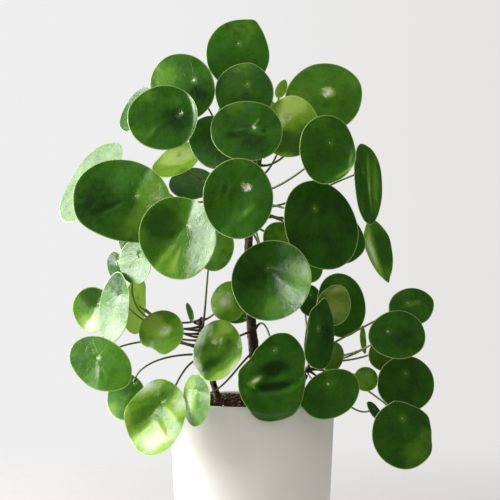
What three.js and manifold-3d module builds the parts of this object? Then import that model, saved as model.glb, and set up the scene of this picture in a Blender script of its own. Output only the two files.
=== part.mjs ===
// A potted Chinese money plant: a plain tapered pot, potting soil, one main stem with two side
// shoots, and round shield-shaped leaves that each stand on a long petiole.
// Millimetres, +Z up. The origin is the middle of the pot's underside; -Y is the front.
import * as THREE from "three";
import * as BufferGeometryUtils from "three/addons/utils/BufferGeometryUtils.js";
import Module from "manifold-3d";

const wasm = await Module();
wasm.setup();

// ---- Driving dimensions ----------------------------------------------------------------------
const GAP = 0.3; // clearance between neighbouring pieces

const POT = {
  height: 140,
  rimRadius: 75, // outside, at the top
  footRadius: 68.5, // outside, at the bottom
  wall: 4.5,
  floor: 6,
  footBevel: 1.5,
  rimRound: 1.8,
  rimShoulder: 0.3, // share of the rounding where the rim's bevels meet
  sides: 48,
};

const SOIL = {
  edgeHeight: 137.4, // where it meets the wall, just under the rim
  crownHeight: 138.6, // in the middle
  rings: [0.35, 0.7],
  sides: 40,
};

const STEM_SIDES = 10;
const STEM_STEPS = 4; // rings between two points of a stem
const STEM_BASE = 118; // how far down the stems stand in the soil
const STEM_HOLE = { clearance: 3 * GAP, overrun: 10 }; // the hole that a stem stands in

const PETIOLE_SIDES = 5;
const PETIOLE_STEPS = 6;
const PETIOLE_RADIUS = { root: 1.3, tip: 0.95 };
// Shares of a petiole's span: how far it first runs out from the stem, how far behind the blade
// it turns towards it, and how much lower than the blade that turn lies.
const PETIOLE_BEND = { out: 0.3, behind: 0.28, below: 0.06 };
const SHEATH_SEAT = 0.35; // from the stem's skin to the root of a petiole

const BLADE_SIDES = 12;
const BLADE_THICKNESS = 1.2;
const BLADE_RING = 0.58; // share of the radius where the blade's inner ring of points lies
const CUP_LEVEL = 0.4; // squared share of the radius where a cupped blade meets its own plane
const CORNER_SHARPNESS = 12; // power of the cosine that shapes a corner in the outline

// Each stem is a tapered tube through points [x, y, z, radius].
const STEMS = {
  main: [
    [4, 0, STEM_BASE, 4.9], [4, 0, 140, 5], [1, -2, 189, 4.6], [-1, -3, 211, 4.3],
    [-3, -4, 284, 3.5], [2, -2, 330, 3.2], [7, 0, 362, 2.4],
  ],
  left: [
    [-31, 4, STEM_BASE, 2.8], [-32, 4, 142, 2.9], [-41, 1, 170, 2.6], [-46, -2, 190, 2.3],
    [-46, -3, 214, 1.7],
  ],
  right: [
    [42, 6, STEM_BASE, 2.8], [43, 6, 142, 2.9], [48, 2, 161, 2.6], [56, -1, 176, 2.4],
    [66, -3, 190, 1.9],
  ],
};

// One row for each leaf, roughly from front to back in each group:
//   at      middle of the blade
//   face    where the upper side looks: degrees right of the front, and degrees above level
//   half    half width and half length of the blade
//   lean    how far the blade's length leans from upright, degrees, to the left if positive
//   dot     where the petiole meets the blade, from the middle: across and up
//   root    the stem that carries it, and the height where the petiole leaves that stem
//   cup     how far the margin stands in front of the middle; behind it if negative
//   curl    [direction in degrees, distance] that one side bends back; 0 is right, 90 is up
//   corner  [direction in degrees, share of the radius] of a blunt corner in the outline
//   via     one or two points that the petiole bends towards on its way
const LEAVES = {
  // the crown
  front_middle: { at: [-12, -96, 321], face: [-5, 14], half: [30, 36], lean: 4,
    dot: [7, 10], root: ["main", 336], cup: -4 },
  front_low: { at: [16, -86, 250], face: [2, 14], half: [34, 36], lean: -5,
    dot: [-2, 13], root: ["main", 300], cup: 5 },
  front_left: { at: [-63, -80, 287], face: [-14, 14], half: [34, 37], lean: 32,
    dot: [5, 12], root: ["main", 308], cup: 4 },
  crown_mid: { at: [-5, -60, 380], face: [-3, 24], half: [32, 30], lean: -16,
    dot: [6, 4], root: ["main", 351], cup: -3 },
  crown_right_front: { at: [65, -64, 364], face: [14, 14], half: [25, 32], lean: -10,
    dot: [3, 6], root: ["main", 328], cup: -3, curl: [-40, -5] },
  side_left_large: { at: [-112, -64, 319], face: [-20, 16], half: [44, 36], lean: -19,
    dot: [10, 5], root: ["main", 319], cup: 4, corner: [215, 0.06] },
  crown_right_low: { at: [60, -58, 298], face: [10, 12], half: [32, 41], lean: 18,
    dot: [-5, 15], root: ["main", 319], cup: -3 },
  crown_left_front: { at: [-78, -52, 392], face: [-24, 18], half: [30, 32], lean: 42,
    dot: [12, 6], root: ["main", 348], cup: -4, curl: [10, 5],
    via: [[-30, -8, 368], [-58, -30, 394]] },
  crown_bright: { at: [33, -40, 383], face: [6, 20], half: [26, 30], lean: -8,
    dot: [-1, 10], root: ["main", 341], cup: 4, via: [[22, -8, 350]] },
  crown_inner: { at: [-35, -46, 371], face: [-38, 15], half: [20, 26], lean: 34,
    dot: [2, 7], root: ["main", 344], cup: -2 },
  crown_upper: { at: [-7, -30, 415], face: [-4, 22], half: [26, 31], lean: 7,
    dot: [2, 9], root: ["main", 356], cup: -3 },
  crown_left_high: { at: [-63, -22, 421], face: [-20, 16], half: [29, 34], lean: 38,
    dot: [10, 6], root: ["main", 354], cup: -3 },
  crown_left_back: { at: [-103, -14, 401], face: [-56, 24], half: [22, 23], lean: 40,
    dot: [5, 6], root: ["main", 346], cup: 2,
    via: [[-20, 4, 372], [-80, 0, 392]] },
  crown_right_high: { at: [65, -6, 413], face: [14, 22], half: [33, 37], lean: -45,
    dot: [2, 4], root: ["main", 352], cup: -3 },
  crown_top: { at: [-13, 4, 453], face: [-3, 16], half: [29, 34], lean: 3,
    dot: [0, 10], root: ["main", 359], cup: -3, corner: [65, 0.05] },
  crown_glow: { at: [-68, -14, 355], face: [-14, 46], half: [23, 24], lean: -12,
    dot: [1, 9], root: ["main", 328], cup: 3, via: [[-30, -12, 330], [-62, -2, 336]] },
  crown_shade: { at: [-55, 16, 336], face: [-8, 46], half: [23, 20], lean: -35,
    dot: [10, 3], root: ["main", 329], cup: -2 },
  side_left_pale: { at: [-147, 10, 336], face: [-57, 28], half: [46, 43], lean: 6,
    dot: [8, 11], root: ["main", 314], cup: 2,
    via: [[-50, 4, 306], [-110, 24, 322]] },
  side_right_edge: { at: [102, -30, 334], face: [69, 4], half: [38, 36], lean: 12,
    dot: [-3, 11], root: ["main", 314], cup: 2 },
  side_right_fold: { at: [114, 0, 275], face: [70, 16], half: [25, 29], lean: -17,
    dot: [-1, 10], root: ["main", 309], cup: 3 },
  crown_right_tuck: { at: [80, -30, 286], face: [20, 10], half: [21, 23], lean: 15,
    dot: [-1, 9], root: ["main", 304], cup: 0, corner: [-20, 0.08],
    via: [[35, -8, 307], [62, -8, 300]] },
  low_inner_right: { at: [37, -16, 273], face: [20, 6], half: [21, 33], lean: 43,
    dot: [-3, 9], root: ["main", 296], cup: -2 },

  // the left shoot
  low_inner_left: { at: [-36, -30, 280], face: [-36, 10], half: [20, 24], lean: 23,
    dot: [1, 8], root: ["left", 207], cup: -2, via: [[-41, -12, 225], [-41, -24, 262]] },
  shoot_left_front: { at: [-83, -76, 131], face: [-12, 22], half: [28, 36], lean: 7,
    dot: [3, 15], root: ["left", 177], cup: 4, via: [[-66, -14, 178]] },
  shoot_mid_front: { at: [-31, -46, 187], face: [-6, 16], half: [23, 29], lean: 4,
    dot: [-3, 8], root: ["main", 201], cup: -3 },
  shoot_left_low: { at: [-133, -62, 177], face: [-22, 18], half: [32, 22], lean: -29,
    dot: [-3, 5], root: ["left", 186], cup: -2, via: [[-75, -14, 198], [-112, -38, 197]] },
  shoot_left_sheen: { at: [-102, -54, 265], face: [-44, 5], half: [21, 19], lean: -29,
    dot: [3, 7], root: ["left", 202], cup: 3, via: [[-84, -30, 207], [-122, -34, 214]] },
  shoot_left_bright: { at: [-80, -50, 204], face: [-12, 22], half: [20, 22], lean: 40,
    dot: [2, 4], root: ["left", 190], cup: -3 },
  shoot_left_slim: { at: [-121, -40, 225], face: [-62, 4], half: [27, 33], lean: -31,
    dot: [3, 10], root: ["left", 199], cup: 4,
    via: [[-84, -14, 198], [-104, -48, 216]] },
  shoot_left_strip: { at: [-48, -88, 148], face: [-64, 4], half: [22, 23], lean: 27,
    dot: [-1, 8], root: ["main", 181], cup: 2,
    via: [[-14, -24, 172], [-32, -60, 140]] },
  shoot_left_under: { at: [-112, -40, 145], face: [-16, 30], half: [18, 26], lean: 22,
    dot: [4, 15], root: ["left", 181], cup: -2,
    via: [[-80, -12, 182], [-104, -26, 172]] },
  shoot_mid_upper: { at: [-21, -24, 229], face: [4, 18], half: [16, 19], lean: -4,
    dot: [-1, 6], root: ["left", 212], cup: 2 },
  shoot_left_hidden: { at: [-108, -24, 282], face: [-20, 20], half: [13, 11], lean: -23,
    dot: [0, 5], root: ["left", 211], cup: -1, via: [[-84, 20, 200], [-124, 16, 222]] },
  shoot_left_curl: { at: [-106, -14, 225], face: [68, -14], half: [19, 25], lean: 4,
    dot: [4, 8], root: ["left", 196], cup: 3 },
  shoot_left_far: { at: [-145, 14, 220], face: [-20, 20], half: [23, 20], lean: -31,
    dot: [2, 6], root: ["left", 193], cup: 2 },
  shoot_left_tuck: { at: [-123, -2, 259], face: [-54, 6], half: [16, 14], lean: -30,
    dot: [3, 6], root: ["left", 205], cup: -1, via: [[-88, 12, 196], [-130, 14, 216]] },
  shoot_mid_sliver: { at: [-12, 14, 216], face: [8, 50], half: [15, 11], lean: 29,
    dot: [1, 3], root: ["main", 212], cup: -1 },

  // the right shoot and the leaves low on the main stem
  front_rim: { at: [18, -70, 166], face: [0, 18], half: [29, 40], lean: -17,
    dot: [1, 24], root: ["main", 205], cup: 2, via: [[14, -14, 222]] },
  right_inner_front: { at: [58, -82, 202], face: [54, -2], half: [28, 29], lean: -37,
    dot: [-4, 7], root: ["right", 172], cup: 2 },
  right_far_bottom: { at: [131, -70, 115], face: [16, 16], half: [29, 30], lean: -18,
    dot: [1, 15], root: ["right", 168], cup: -2, corner: [30, 0.05],
    via: [[80, -6, 168], [112, -40, 146]] },
  right_far_mid: { at: [127, -64, 202], face: [22, 24], half: [29, 22], lean: 13,
    dot: [-9, 4], root: ["right", 184], cup: -2 },
  right_rim: { at: [68, -62, 150], face: [8, 20], half: [28, 21], lean: 31,
    dot: [-1, 10], root: ["right", 164], cup: 2 },
  right_far_low: { at: [136, -46, 158], face: [22, 20], half: [29, 25], lean: 19,
    dot: [1, 9], root: ["right", 178], cup: -2 },
  right_brown: { at: [72, -38, 226], face: [10, 16], half: [15, 19], lean: -18,
    dot: [-3, -5], root: ["right", 187], cup: 2 },
  right_lower_tuck: { at: [71, -34, 181], face: [16, 14], half: [11, 14], lean: -21,
    dot: [1, 5], root: ["right", 170], cup: -1 },
  right_small: { at: [101, -36, 161], face: [16, 24], half: [12, 11], lean: 41,
    dot: [1, 4], root: ["right", 175], cup: -1 },
  right_far_top: { at: [142, -30, 225], face: [24, 26], half: [24, 18], lean: 23,
    dot: [-3, 4], root: ["right", 188], cup: -2,
    via: [[84, -18, 199], [118, -14, 214]] },
  right_far_edge: { at: [110, -24, 130], face: [65, 33], half: [12, 11], lean: -44,
    dot: [1, 4], root: ["right", 166], cup: 1 },
  right_far_tuck: { at: [117, -28, 182], face: [18, 16], half: [14, 15], lean: -44,
    dot: [-1, 6], root: ["right", 180], cup: -1 },
  right_upper_back: { at: [81, 0, 225], face: [22, 12], half: [25, 30], lean: -10,
    dot: [3, 10], root: ["right", 185], cup: -2 },
  right_tuck: { at: [53, 22, 228], face: [44, 6], half: [14, 15], lean: -41,
    dot: [2, 5], root: ["right", 174], cup: -1 },

  // the back
  back_high: { at: [-2, 62, 398], face: [165, 38], half: [31, 33], lean: 8, dot: [1, 9],
    root: ["main", 349], cup: -3 },
  back_left: { at: [-98, 60, 300], face: [-140, 30], half: [33, 35], lean: -12, dot: [2, 10],
    root: ["main", 326], cup: -3 },
  back_right: { at: [66, 70, 300], face: [142, 26], half: [34, 36], lean: 14, dot: [-2, 10],
    root: ["main", 311], cup: 3 },
  back_low: { at: [20, 72, 248], face: [178, 24], half: [29, 30], lean: -6, dot: [1, 9],
    root: ["main", 292], cup: -3 },
};

// Young leaves at the growing tips, which are one piece with their stem.
const YOUNG_LEAVES = {
  main: { at: [26, 2, 420], face: [10, 30], half: [5, 11], lean: -25, dot: [-2, -6],
    root: ["main", 360], cup: 3, via: [[10, 0, 385]] },
  left: { at: [-56, -6, 218], face: [-30, 12], half: [3, 10], lean: 24, dot: [2, -6],
    root: ["left", 208], cup: 1, via: [[-53, 3, 207]] },
  right: { at: [101, 4, 193], face: [20, 10], half: [3, 13], lean: 2, dot: [0, -8],
    root: ["right", 171], cup: 1, via: [[82, 10, 174]] },
};

const COLOURS = {
  pot: { color: 0xeeedea, roughness: 0.35 },
  soil: { color: 0x2f1f17, roughness: 0.95 },
  stem: { color: 0x4a2d1c, roughness: 0.8 },
  leaf: { color: 0x2f6b1f, roughness: 0.38 },
};

const HALVINGS = 30; // steps of the search for a height along a stem
const radians = THREE.MathUtils.degToRad;

// ---- Joining and cutting -----------------------------------------------------------------------
function toSolid(geometry) {
  const plain = geometry.clone();
  plain.deleteAttribute("normal");
  plain.deleteAttribute("uv");
  const merged = BufferGeometryUtils.mergeVertices(plain, 1e-4);
  const mesh = new wasm.Mesh({
    numProp: 3,
    vertProperties: new Float32Array(merged.attributes.position.array),
    triVerts: new Uint32Array(merged.index.array),
  });
  mesh.merge();
  return new wasm.Manifold(mesh);
}

function toGeometry(solid) {
  const mesh = solid.getMesh();
  const geometry = new THREE.BufferGeometry();
  geometry.setAttribute("position", new THREE.BufferAttribute(mesh.vertProperties, 3));
  geometry.setIndex(new THREE.BufferAttribute(mesh.triVerts, 1));
  geometry.computeVertexNormals();
  return geometry;
}

// ---- Shapes ------------------------------------------------------------------------------------
// A solid of revolution about Z, from [radius, height] pairs.
function turned(profile, sides) {
  const points = profile.map(([radius, height]) => new THREE.Vector2(radius, height));
  return new THREE.LatheGeometry(points, sides).rotateX(Math.PI / 2);
}

// A tapered tube: a turned rod whose rings are then moved onto the curve.
function taperedTube(curve, radiusAt, sides, steps) {
  const profile = [[0, 0]];
  for (let i = 0; i <= steps; i += 1) {
    profile.push([radiusAt(i / steps), i / steps]);
  }
  profile.push([0, 1]);
  const tube = turned(profile, sides);
  const frames = curve.computeFrenetFrames(steps, false);
  const spots = curve.getSpacedPoints(steps);
  const position = tube.attributes.position;
  const point = new THREE.Vector3();
  for (let i = 0; i < position.count; i += 1) {
    point.fromBufferAttribute(position, i);
    const step = Math.round(point.z * steps);
    const moved = spots[step].clone();
    moved.addScaledVector(frames.normals[step], point.x);
    moved.addScaledVector(frames.binormals[step], point.y);
    position.setXYZ(i, moved.x, moved.y, moved.z);
  }
  return tube;
}

function stemCurve(name) {
  return new THREE.CatmullRomCurve3(STEMS[name].map(([x, y, z]) => new THREE.Vector3(x, y, z)));
}

// Radius of a stem at a given height, straight between its points.
function stemRadius(name, height) {
  const points = STEMS[name];
  const above = points.findIndex((point, i) => i > 0 && point[2] >= height);
  const next = points.at(above);
  const last = points[points.indexOf(next) - 1];
  const share = THREE.MathUtils.clamp((height - last[2]) / (next[2] - last[2]), 0, 1);
  return THREE.MathUtils.lerp(last[3], next[3], share);
}

// The point on a stem's middle line at a given height, and the stem's direction there.
function stemAxis(name, height) {
  const curve = stemCurve(name);
  let low = 0;
  let high = 1;
  for (let i = 0; i < HALVINGS; i += 1) {
    const middle = (low + high) / 2;
    if (curve.getPoint(middle).z < height) {
      low = middle;
    } else {
      high = middle;
    }
  }
  return { axis: curve.getPoint(low), along: curve.getTangent(low) };
}

// The blade's own directions: across, up along the blade, and out of its upper side.
function bladeFrame(leaf) {
  const [yaw, tilt] = leaf.face.map(radians);
  const normal = new THREE.Vector3(
    Math.sin(yaw) * Math.cos(tilt), -Math.cos(yaw) * Math.cos(tilt), Math.sin(tilt),
  );
  const across = new THREE.Vector3(Math.cos(yaw), Math.sin(yaw), 0);
  const up = new THREE.Vector3().crossVectors(normal, across);
  return { across, up, normal };
}

// How far the outline reaches in a direction, as a share of the plain ellipse.
function outline(leaf, angle) {
  let reach = 1;
  if (leaf.corner) {
    const off = Math.cos(angle - radians(leaf.corner[0]));
    reach += leaf.corner[1] * Math.max(0, off) ** CORNER_SHARPNESS;
  }
  return reach;
}

// How far the blade stands out of its own plane at [across, up] from its middle.
function relief(leaf, x, y) {
  const radius = (leaf.half[0] + leaf.half[1]) / 2;
  const share = Math.hypot(x, y) / radius;
  let height = leaf.cup * (share ** 2 - CUP_LEVEL);
  if (leaf.curl) {
    const way = radians(leaf.curl[0]);
    const reach = Math.max(0, (x * Math.cos(way) + y * Math.sin(way)) / radius);
    height -= leaf.curl[1] * reach ** 2;
  }
  return height;
}

// A point of the blade in the plant's own frame; side is +1 on the upper face, -1 below.
function bladePoint(leaf, x, y, side) {
  const { across, up, normal } = bladeFrame(leaf);
  const out = relief(leaf, x, y) + (side * BLADE_THICKNESS) / 2;
  return new THREE.Vector3(...leaf.at)
    .addScaledVector(across, x)
    .addScaledVector(up, y)
    .addScaledVector(normal, out);
}

function blade(leaf) {
  const profile = [[0, -1], [BLADE_RING, -1], [1, -1], [1, 1], [BLADE_RING, 1], [0, 1]];
  const disc = turned(profile, BLADE_SIDES);
  const position = disc.attributes.position;
  const lean = radians(leaf.lean);
  for (let i = 0; i < position.count; i += 1) {
    const angle = Math.atan2(position.getY(i), position.getX(i));
    const share = Math.hypot(position.getX(i), position.getY(i));
    const side = Math.sign(position.getZ(i));
    const alongX = share * Math.cos(angle) * leaf.half[0];
    const alongY = share * Math.sin(angle) * leaf.half[1];
    const leant = Math.atan2(alongY, alongX) + lean;
    const reach = Math.hypot(alongX, alongY) * outline(leaf, leant);
    const point = bladePoint(leaf, reach * Math.cos(leant), reach * Math.sin(leant), side);
    position.setXYZ(i, point.x, point.y, point.z);
  }
  return disc;
}

// The petiole leaves the stem outwards, arches, and meets the blade from behind.
function petioleCurve(leaf, seat) {
  const [stem, height] = leaf.root;
  const { axis, along } = stemAxis(stem, height);
  const end = bladePoint(leaf, leaf.dot[0], leaf.dot[1], 0);
  const [near, far] = (leaf.via ?? []).map((point) => new THREE.Vector3(...point));
  const outward = (near ?? end).clone().sub(axis).setZ(0);
  outward.addScaledVector(along, -outward.dot(along)).normalize();
  const length = end.distanceTo(axis);
  const first = near ?? axis.clone().addScaledVector(outward, length * PETIOLE_BEND.out);
  const turn = first.clone().sub(axis).normalize().dot(outward);
  const slant = PETIOLE_RADIUS.root * Math.sqrt(1 - Math.min(1, turn ** 2));
  const start = axis.clone().addScaledVector(outward, stemRadius(stem, height) + seat + slant);
  const behind = end.clone()
    .addScaledVector(bladeFrame(leaf).normal, -length * PETIOLE_BEND.behind);
  behind.z -= length * PETIOLE_BEND.below;
  return new THREE.CubicBezierCurve3(start, first, far ?? behind, end);
}

function petiole(leaf, seat) {
  const { root, tip } = PETIOLE_RADIUS;
  const radiusAt = (share) => THREE.MathUtils.lerp(root, tip, share);
  return taperedTube(petioleCurve(leaf, seat), radiusAt, PETIOLE_SIDES, PETIOLE_STEPS);
}

// ---- Pieces --------------------------------------------------------------------------------------
function potInside(height) {
  const share = height / POT.height;
  return THREE.MathUtils.lerp(POT.footRadius, POT.rimRadius, share) - POT.wall;
}

function pot() {
  const { height, rimRadius, footRadius, wall, floor, footBevel, rimRound, sides } = POT;
  const lip = rimRound * POT.rimShoulder;
  return turned([
    [0, 0], [footRadius - footBevel, 0], [footRadius, footBevel], [rimRadius, height - rimRound],
    [rimRadius - lip, height - lip], [rimRadius - rimRound, height],
    [rimRadius - wall + rimRound, height], [rimRadius - wall + lip, height - lip],
    [rimRadius - wall, height - rimRound], [potInside(floor), floor + footBevel],
    [potInside(floor) - footBevel, floor], [0, floor],
  ], sides);
}

function soil() {
  const { edgeHeight, crownHeight, rings, sides } = SOIL;
  const low = POT.floor + GAP;
  const profile = [
    [0, low], [potInside(low) - POT.footBevel * 2, low],
    [potInside(low) - GAP * 2, low + POT.footBevel * 2], [potInside(edgeHeight) - GAP, edgeHeight],
  ];
  for (const ring of [...rings].reverse()) {
    const rise = (crownHeight - edgeHeight) * (1 - ring ** 2);
    profile.push([potInside(edgeHeight) * ring, edgeHeight + rise]);
  }
  profile.push([0, crownHeight]);
  let solid = toSolid(turned(profile, sides));
  for (const name of Object.keys(STEMS)) {
    const line = stemCurve(name);
    const hole = taperedTube(
      new THREE.LineCurve3(
        new THREE.Vector3(STEMS[name][0][0], STEMS[name][0][1], STEM_BASE - GAP),
        new THREE.Vector3(STEMS[name][1][0], STEMS[name][1][1], crownHeight + STEM_HOLE.overrun),
      ),
      () => stemRadius(name, line.getPoint(0).z) + STEM_HOLE.clearance, STEM_SIDES * 2, 1,
    );
    solid = solid.subtract(toSolid(hole));
  }
  return toGeometry(solid);
}

function stem(name) {
  const curve = stemCurve(name);
  const steps = STEM_STEPS * (STEMS[name].length - 1);
  const radiusAt = (share) => stemRadius(name, curve.getPointAt(share).z);
  return taperedTube(curve, radiusAt, STEM_SIDES, steps);
}

function leafPiece(leaf) {
  return toGeometry(toSolid(blade(leaf)).add(toSolid(petiole(leaf, SHEATH_SEAT))));
}

// A stem with the young leaf that grows out of it, whose petiole starts inside the stem.
function stemPiece(name) {
  const young = YOUNG_LEAVES[name];
  const grown = toSolid(blade(young)).add(toSolid(petiole(young, -PETIOLE_RADIUS.root)));
  return toGeometry(toSolid(stem(name)).add(grown));
}

// ---- Assembly --------------------------------------------------------------------------------------
const plant = new THREE.Group();

function addPiece(name, geometry, look) {
  const mesh = new THREE.Mesh(geometry, new THREE.MeshStandardMaterial({ ...look, metalness: 0 }));
  mesh.name = name;
  plant.add(mesh);
}

addPiece("pot", pot(), COLOURS.pot);
addPiece("soil", soil(), COLOURS.soil);
addPiece("main_stem", stemPiece("main"), COLOURS.stem);
addPiece("left_shoot", stemPiece("left"), COLOURS.stem);
addPiece("right_shoot", stemPiece("right"), COLOURS.stem);
for (const [name, leaf] of Object.entries(LEAVES)) {
  addPiece(`leaf_${name}`, leafPiece(leaf), COLOURS.leaf);
}

export default plant;
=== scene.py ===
# %% [markdown]
# # A potted Chinese money plant
#
# The plant stands in a plain white pot: a woody main stem, two side shoots, and round leaves that
# are each carried by a thin petiole from behind. The solid model gives the size and the place of
# every piece. This lesson makes the pieces again with the surfaces that the real plant has, and
# hides the plain solids behind them.

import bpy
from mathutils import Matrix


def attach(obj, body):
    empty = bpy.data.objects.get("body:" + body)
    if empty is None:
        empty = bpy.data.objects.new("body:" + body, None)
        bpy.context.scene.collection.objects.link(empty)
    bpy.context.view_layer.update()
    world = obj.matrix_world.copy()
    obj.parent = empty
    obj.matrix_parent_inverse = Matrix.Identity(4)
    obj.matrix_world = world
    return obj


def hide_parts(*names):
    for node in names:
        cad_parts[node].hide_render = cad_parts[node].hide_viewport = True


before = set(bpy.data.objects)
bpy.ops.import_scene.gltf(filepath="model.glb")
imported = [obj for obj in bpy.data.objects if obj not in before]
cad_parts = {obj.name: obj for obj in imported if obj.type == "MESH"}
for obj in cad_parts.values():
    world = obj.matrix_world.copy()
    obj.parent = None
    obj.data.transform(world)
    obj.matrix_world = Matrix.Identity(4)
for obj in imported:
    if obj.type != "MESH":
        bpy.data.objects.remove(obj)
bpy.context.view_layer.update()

# %% The tools of this lesson
import math

import bmesh
import bpy
import numpy as np
from mathutils import Matrix, Vector, noise

scene = bpy.context.scene
MM = 0.001  # the plant is measured in millimetres, and Blender works in metres
FULL_TURN = 2 * math.pi


def turn_points(count):
    """Directions in radians, spread evenly round a circle."""
    return np.arange(count) * FULL_TURN / count


def level_ring(radius, height, turns):
    """Points on a level circle about the pot's middle line."""
    return np.stack([radius * np.cos(turns), radius * np.sin(turns), turns * 0 + height], 1)


def unit(vector):
    return vector / np.linalg.norm(vector)


def square_to(vector, along):
    """The part of a vector that is square to a direction, one long."""
    return unit(vector - along * np.dot(vector, along))


def hoop(turns, side, other):
    """Points on a circle of radius 1 in the plane of two directions."""
    return np.multiply.outer(np.cos(turns), side) + np.multiply.outer(np.sin(turns), other)


def heading(degrees):
    """How far a step of 1 in that direction goes across, and how far up."""
    return math.cos(math.radians(degrees)), math.sin(math.radians(degrees))


def hill(off, width, beside=0, wide=1):
    """1 in the middle of a soft round or oval hill, and nearly 0 at twice its width."""
    return np.exp(-(off / width) ** 2 - (beside / wide) ** 2)


print("a hoop of four points:", hoop(turn_points(4), [1, 0, 0], [0, 1, 0]).round(1).tolist())

# %% [markdown]
# ## The camera
#
# The photograph was taken almost level with the crown, from well back: the pot's rim shows as a
# thin ellipse and its sides hardly converge. A long lens far away gives that flat view. A shorter
# lens nearby would frame the plant as well, but it would swell the leaves in front.

# %% Camera
# The aim and distance are in millimetres of the plant, the lens and sensor in those of the camera.
CAMERA = {"aim": (-2, 0, 274.9), "distance": 1600, "drop": 1.1, "lens": 127, "sensor": 36}

camera_data = bpy.data.cameras.new("camera")
camera_data.sensor_width = CAMERA["sensor"]
camera_data.lens = CAMERA["lens"]
camera = bpy.data.objects.new("camera", camera_data)
scene.collection.objects.link(camera)
drop = math.radians(CAMERA["drop"])
back = Vector((0, -math.cos(drop), math.sin(drop)))
camera.location = (Vector(CAMERA["aim"]) + back * CAMERA["distance"]) * MM
camera.rotation_euler = (math.radians(90) - drop, 0, 0)
scene.camera = camera
scene.view_settings.view_transform = "Standard"
print("camera at", [round(x, 3) for x in camera.location])

# %% [markdown]
# ## Writing materials as recipes
#
# A Blender material is a tree of nodes. Making each node takes a few lines, so a small recipe
# class keeps a material as short as the thought behind it: every call adds one node and hands back
# its output, ready to go into the next. Nothing on a plant is one even colour, so the recipes lean
# on noise: a cloud of soft values, and a ramp that says what the values do.

# %% Recipe
class Recipe:
    """The node tree of a material or a world, written a node at a time."""

    def __init__(self, owner):
        owner.use_nodes = True
        self.owner = owner
        self.tree = owner.node_tree
        self.tree.nodes.clear()

    def node(self, kind, inputs, settings=None):
        made = self.tree.nodes.new("ShaderNode" + kind)
        for key, value in (settings or {}).items():
            setattr(made, key, value)
        for key, value in inputs.items():
            if isinstance(value, bpy.types.NodeSocket):
                self.tree.links.new(value, made.inputs[key])
            elif value is not None:
                made.inputs[key].default_value = value
        return made

    def maths(self, operation, *values):
        kind = {"operation": operation}
        return self.node("Math", dict(enumerate(values)), kind).outputs[0]

    def ramp(self, value, start, end, low=0.0, high=1.0):
        """A smooth step from low to high while value goes from start to end."""
        inputs = {"Value": value, 1: start, 2: end, 3: low, 4: high}
        return self.node("MapRange", inputs, {"interpolation_type": "SMOOTHSTEP"}).outputs[0]

    def blend(self, share, first, second, way="MIX"):
        """Two colours mixed; share 0 gives the first."""
        inputs = {0: share, 6: first, 7: second}
        return self.node("Mix", inputs, {"data_type": "RGBA", "blend_type": way}).outputs[2]

    def cloud(self, where, scale, detail=2.0, rough=0.5):
        """Soft noise from 0 to 1 around 0.5."""
        inputs = {"Vector": where, "Scale": scale, "Detail": detail, "Roughness": rough}
        return self.node("TexNoise", inputs).outputs[0]

    def uneven(self, where, noise_row, ramp_row):
        """Noise [scale, detail, roughness] through a ramp [start, end, low, high]."""
        return self.ramp(self.cloud(where, *noise_row), *ramp_row)

    def patchy(self, where, noise_row, colours):
        """Two colours in soft patches."""
        return self.blend(self.cloud(where, *noise_row), *colours)

    def layered(self, colour, layers):
        """Colours laid over one another: [share, colour] each."""
        for share, layer in layers:
            colour = self.blend(share, colour, layer)
        return colour

    def times(self, value, amount):
        return self.maths("MULTIPLY", value, amount)

    def parts(self, vector):
        """The three numbers of a vector."""
        return tuple(self.node("SeparateXYZ", {0: vector}).outputs)

    def length(self, vector):
        return self.node("VectorMath", {0: vector}, {"operation": "LENGTH"}).outputs[1]

    def place(self):
        """The place on the plant, in metres, from the pot's underside."""
        return self.node("TexCoord", {}).outputs["Object"]

    def chart(self, name):
        """One of the pairs of numbers that every point of a mesh carries."""
        return self.node("UVMap", {}, {"uv_map": name}).outputs[0]

    def relief(self, height, depth, under=None):
        """A bump of that depth in metres, on top of another one if given."""
        inputs = {"Height": height, "Distance": depth, "Strength": 1.0, "Normal": under}
        return self.node("Bump", inputs).outputs[0]

    def bumpy(self, where, rows, under=None):
        """Bumps of noise on top of one another: [noise, depth] each."""
        for noise_row, depth in rows:
            under = self.relief(self.cloud(where, *noise_row), depth, under)
        return under

    def surface(self, colour, rough, bumps, index=None, mirrors=None):
        """A skin; the index of refraction and the level of gloss only where they are unusual."""
        settings = {"Base Color": colour, "Roughness": rough, "Normal": bumps,
                    "IOR": index, "Specular IOR Level": mirrors}
        return self.node("BsdfPrincipled", settings).outputs[0]

    def lit_through(self, share, skin, colour, bumps=None):
        """A thin tissue: a share of the light goes through it instead of off its skin."""
        light = self.node("BsdfTranslucent", {"Color": colour, "Normal": bumps}).outputs[0]
        return self.node("MixShader", {0: share, 1: skin, 2: light}).outputs[0]

    def finish(self, shader, output="OutputMaterial"):
        self.node(output, {"Surface": shader})
        return self.owner


def new_finish(name):
    return Recipe(bpy.data.materials.new(name))


print("recipes are ready")

# %% [markdown]
# ## The room's light
#
# Much of a waxy leaf's look is the room that it mirrors. The photograph's room is pale behind the
# plant and dim in front, so leaves that face the camera stay deep green. A world light can do that
# with a blend of colours by direction. It also tells rays apart: what gloss mirrors is kept darker
# than what lights the leaves, or a grey veil would lie over every green.

# %% Room
ROOM = {
    "front": (0.43, 0.38, 0.315, 1),
    "wall": (0.86, 0.86, 0.87, 1),
    "ceiling": (0.8, 0.8, 0.8, 1),
    "dark": (0.03, 0.03, 0.026, 1),  # what gloss mirrors on the right and in front
    "pale": (0.6, 0.61, 0.62, 1),  # and on the far left
    "seen": (0.865, 0.858, 0.863, 1),  # the wall as the camera sees it
    "seen_right": (0.775, 0.765, 0.755, 1),
}
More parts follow.
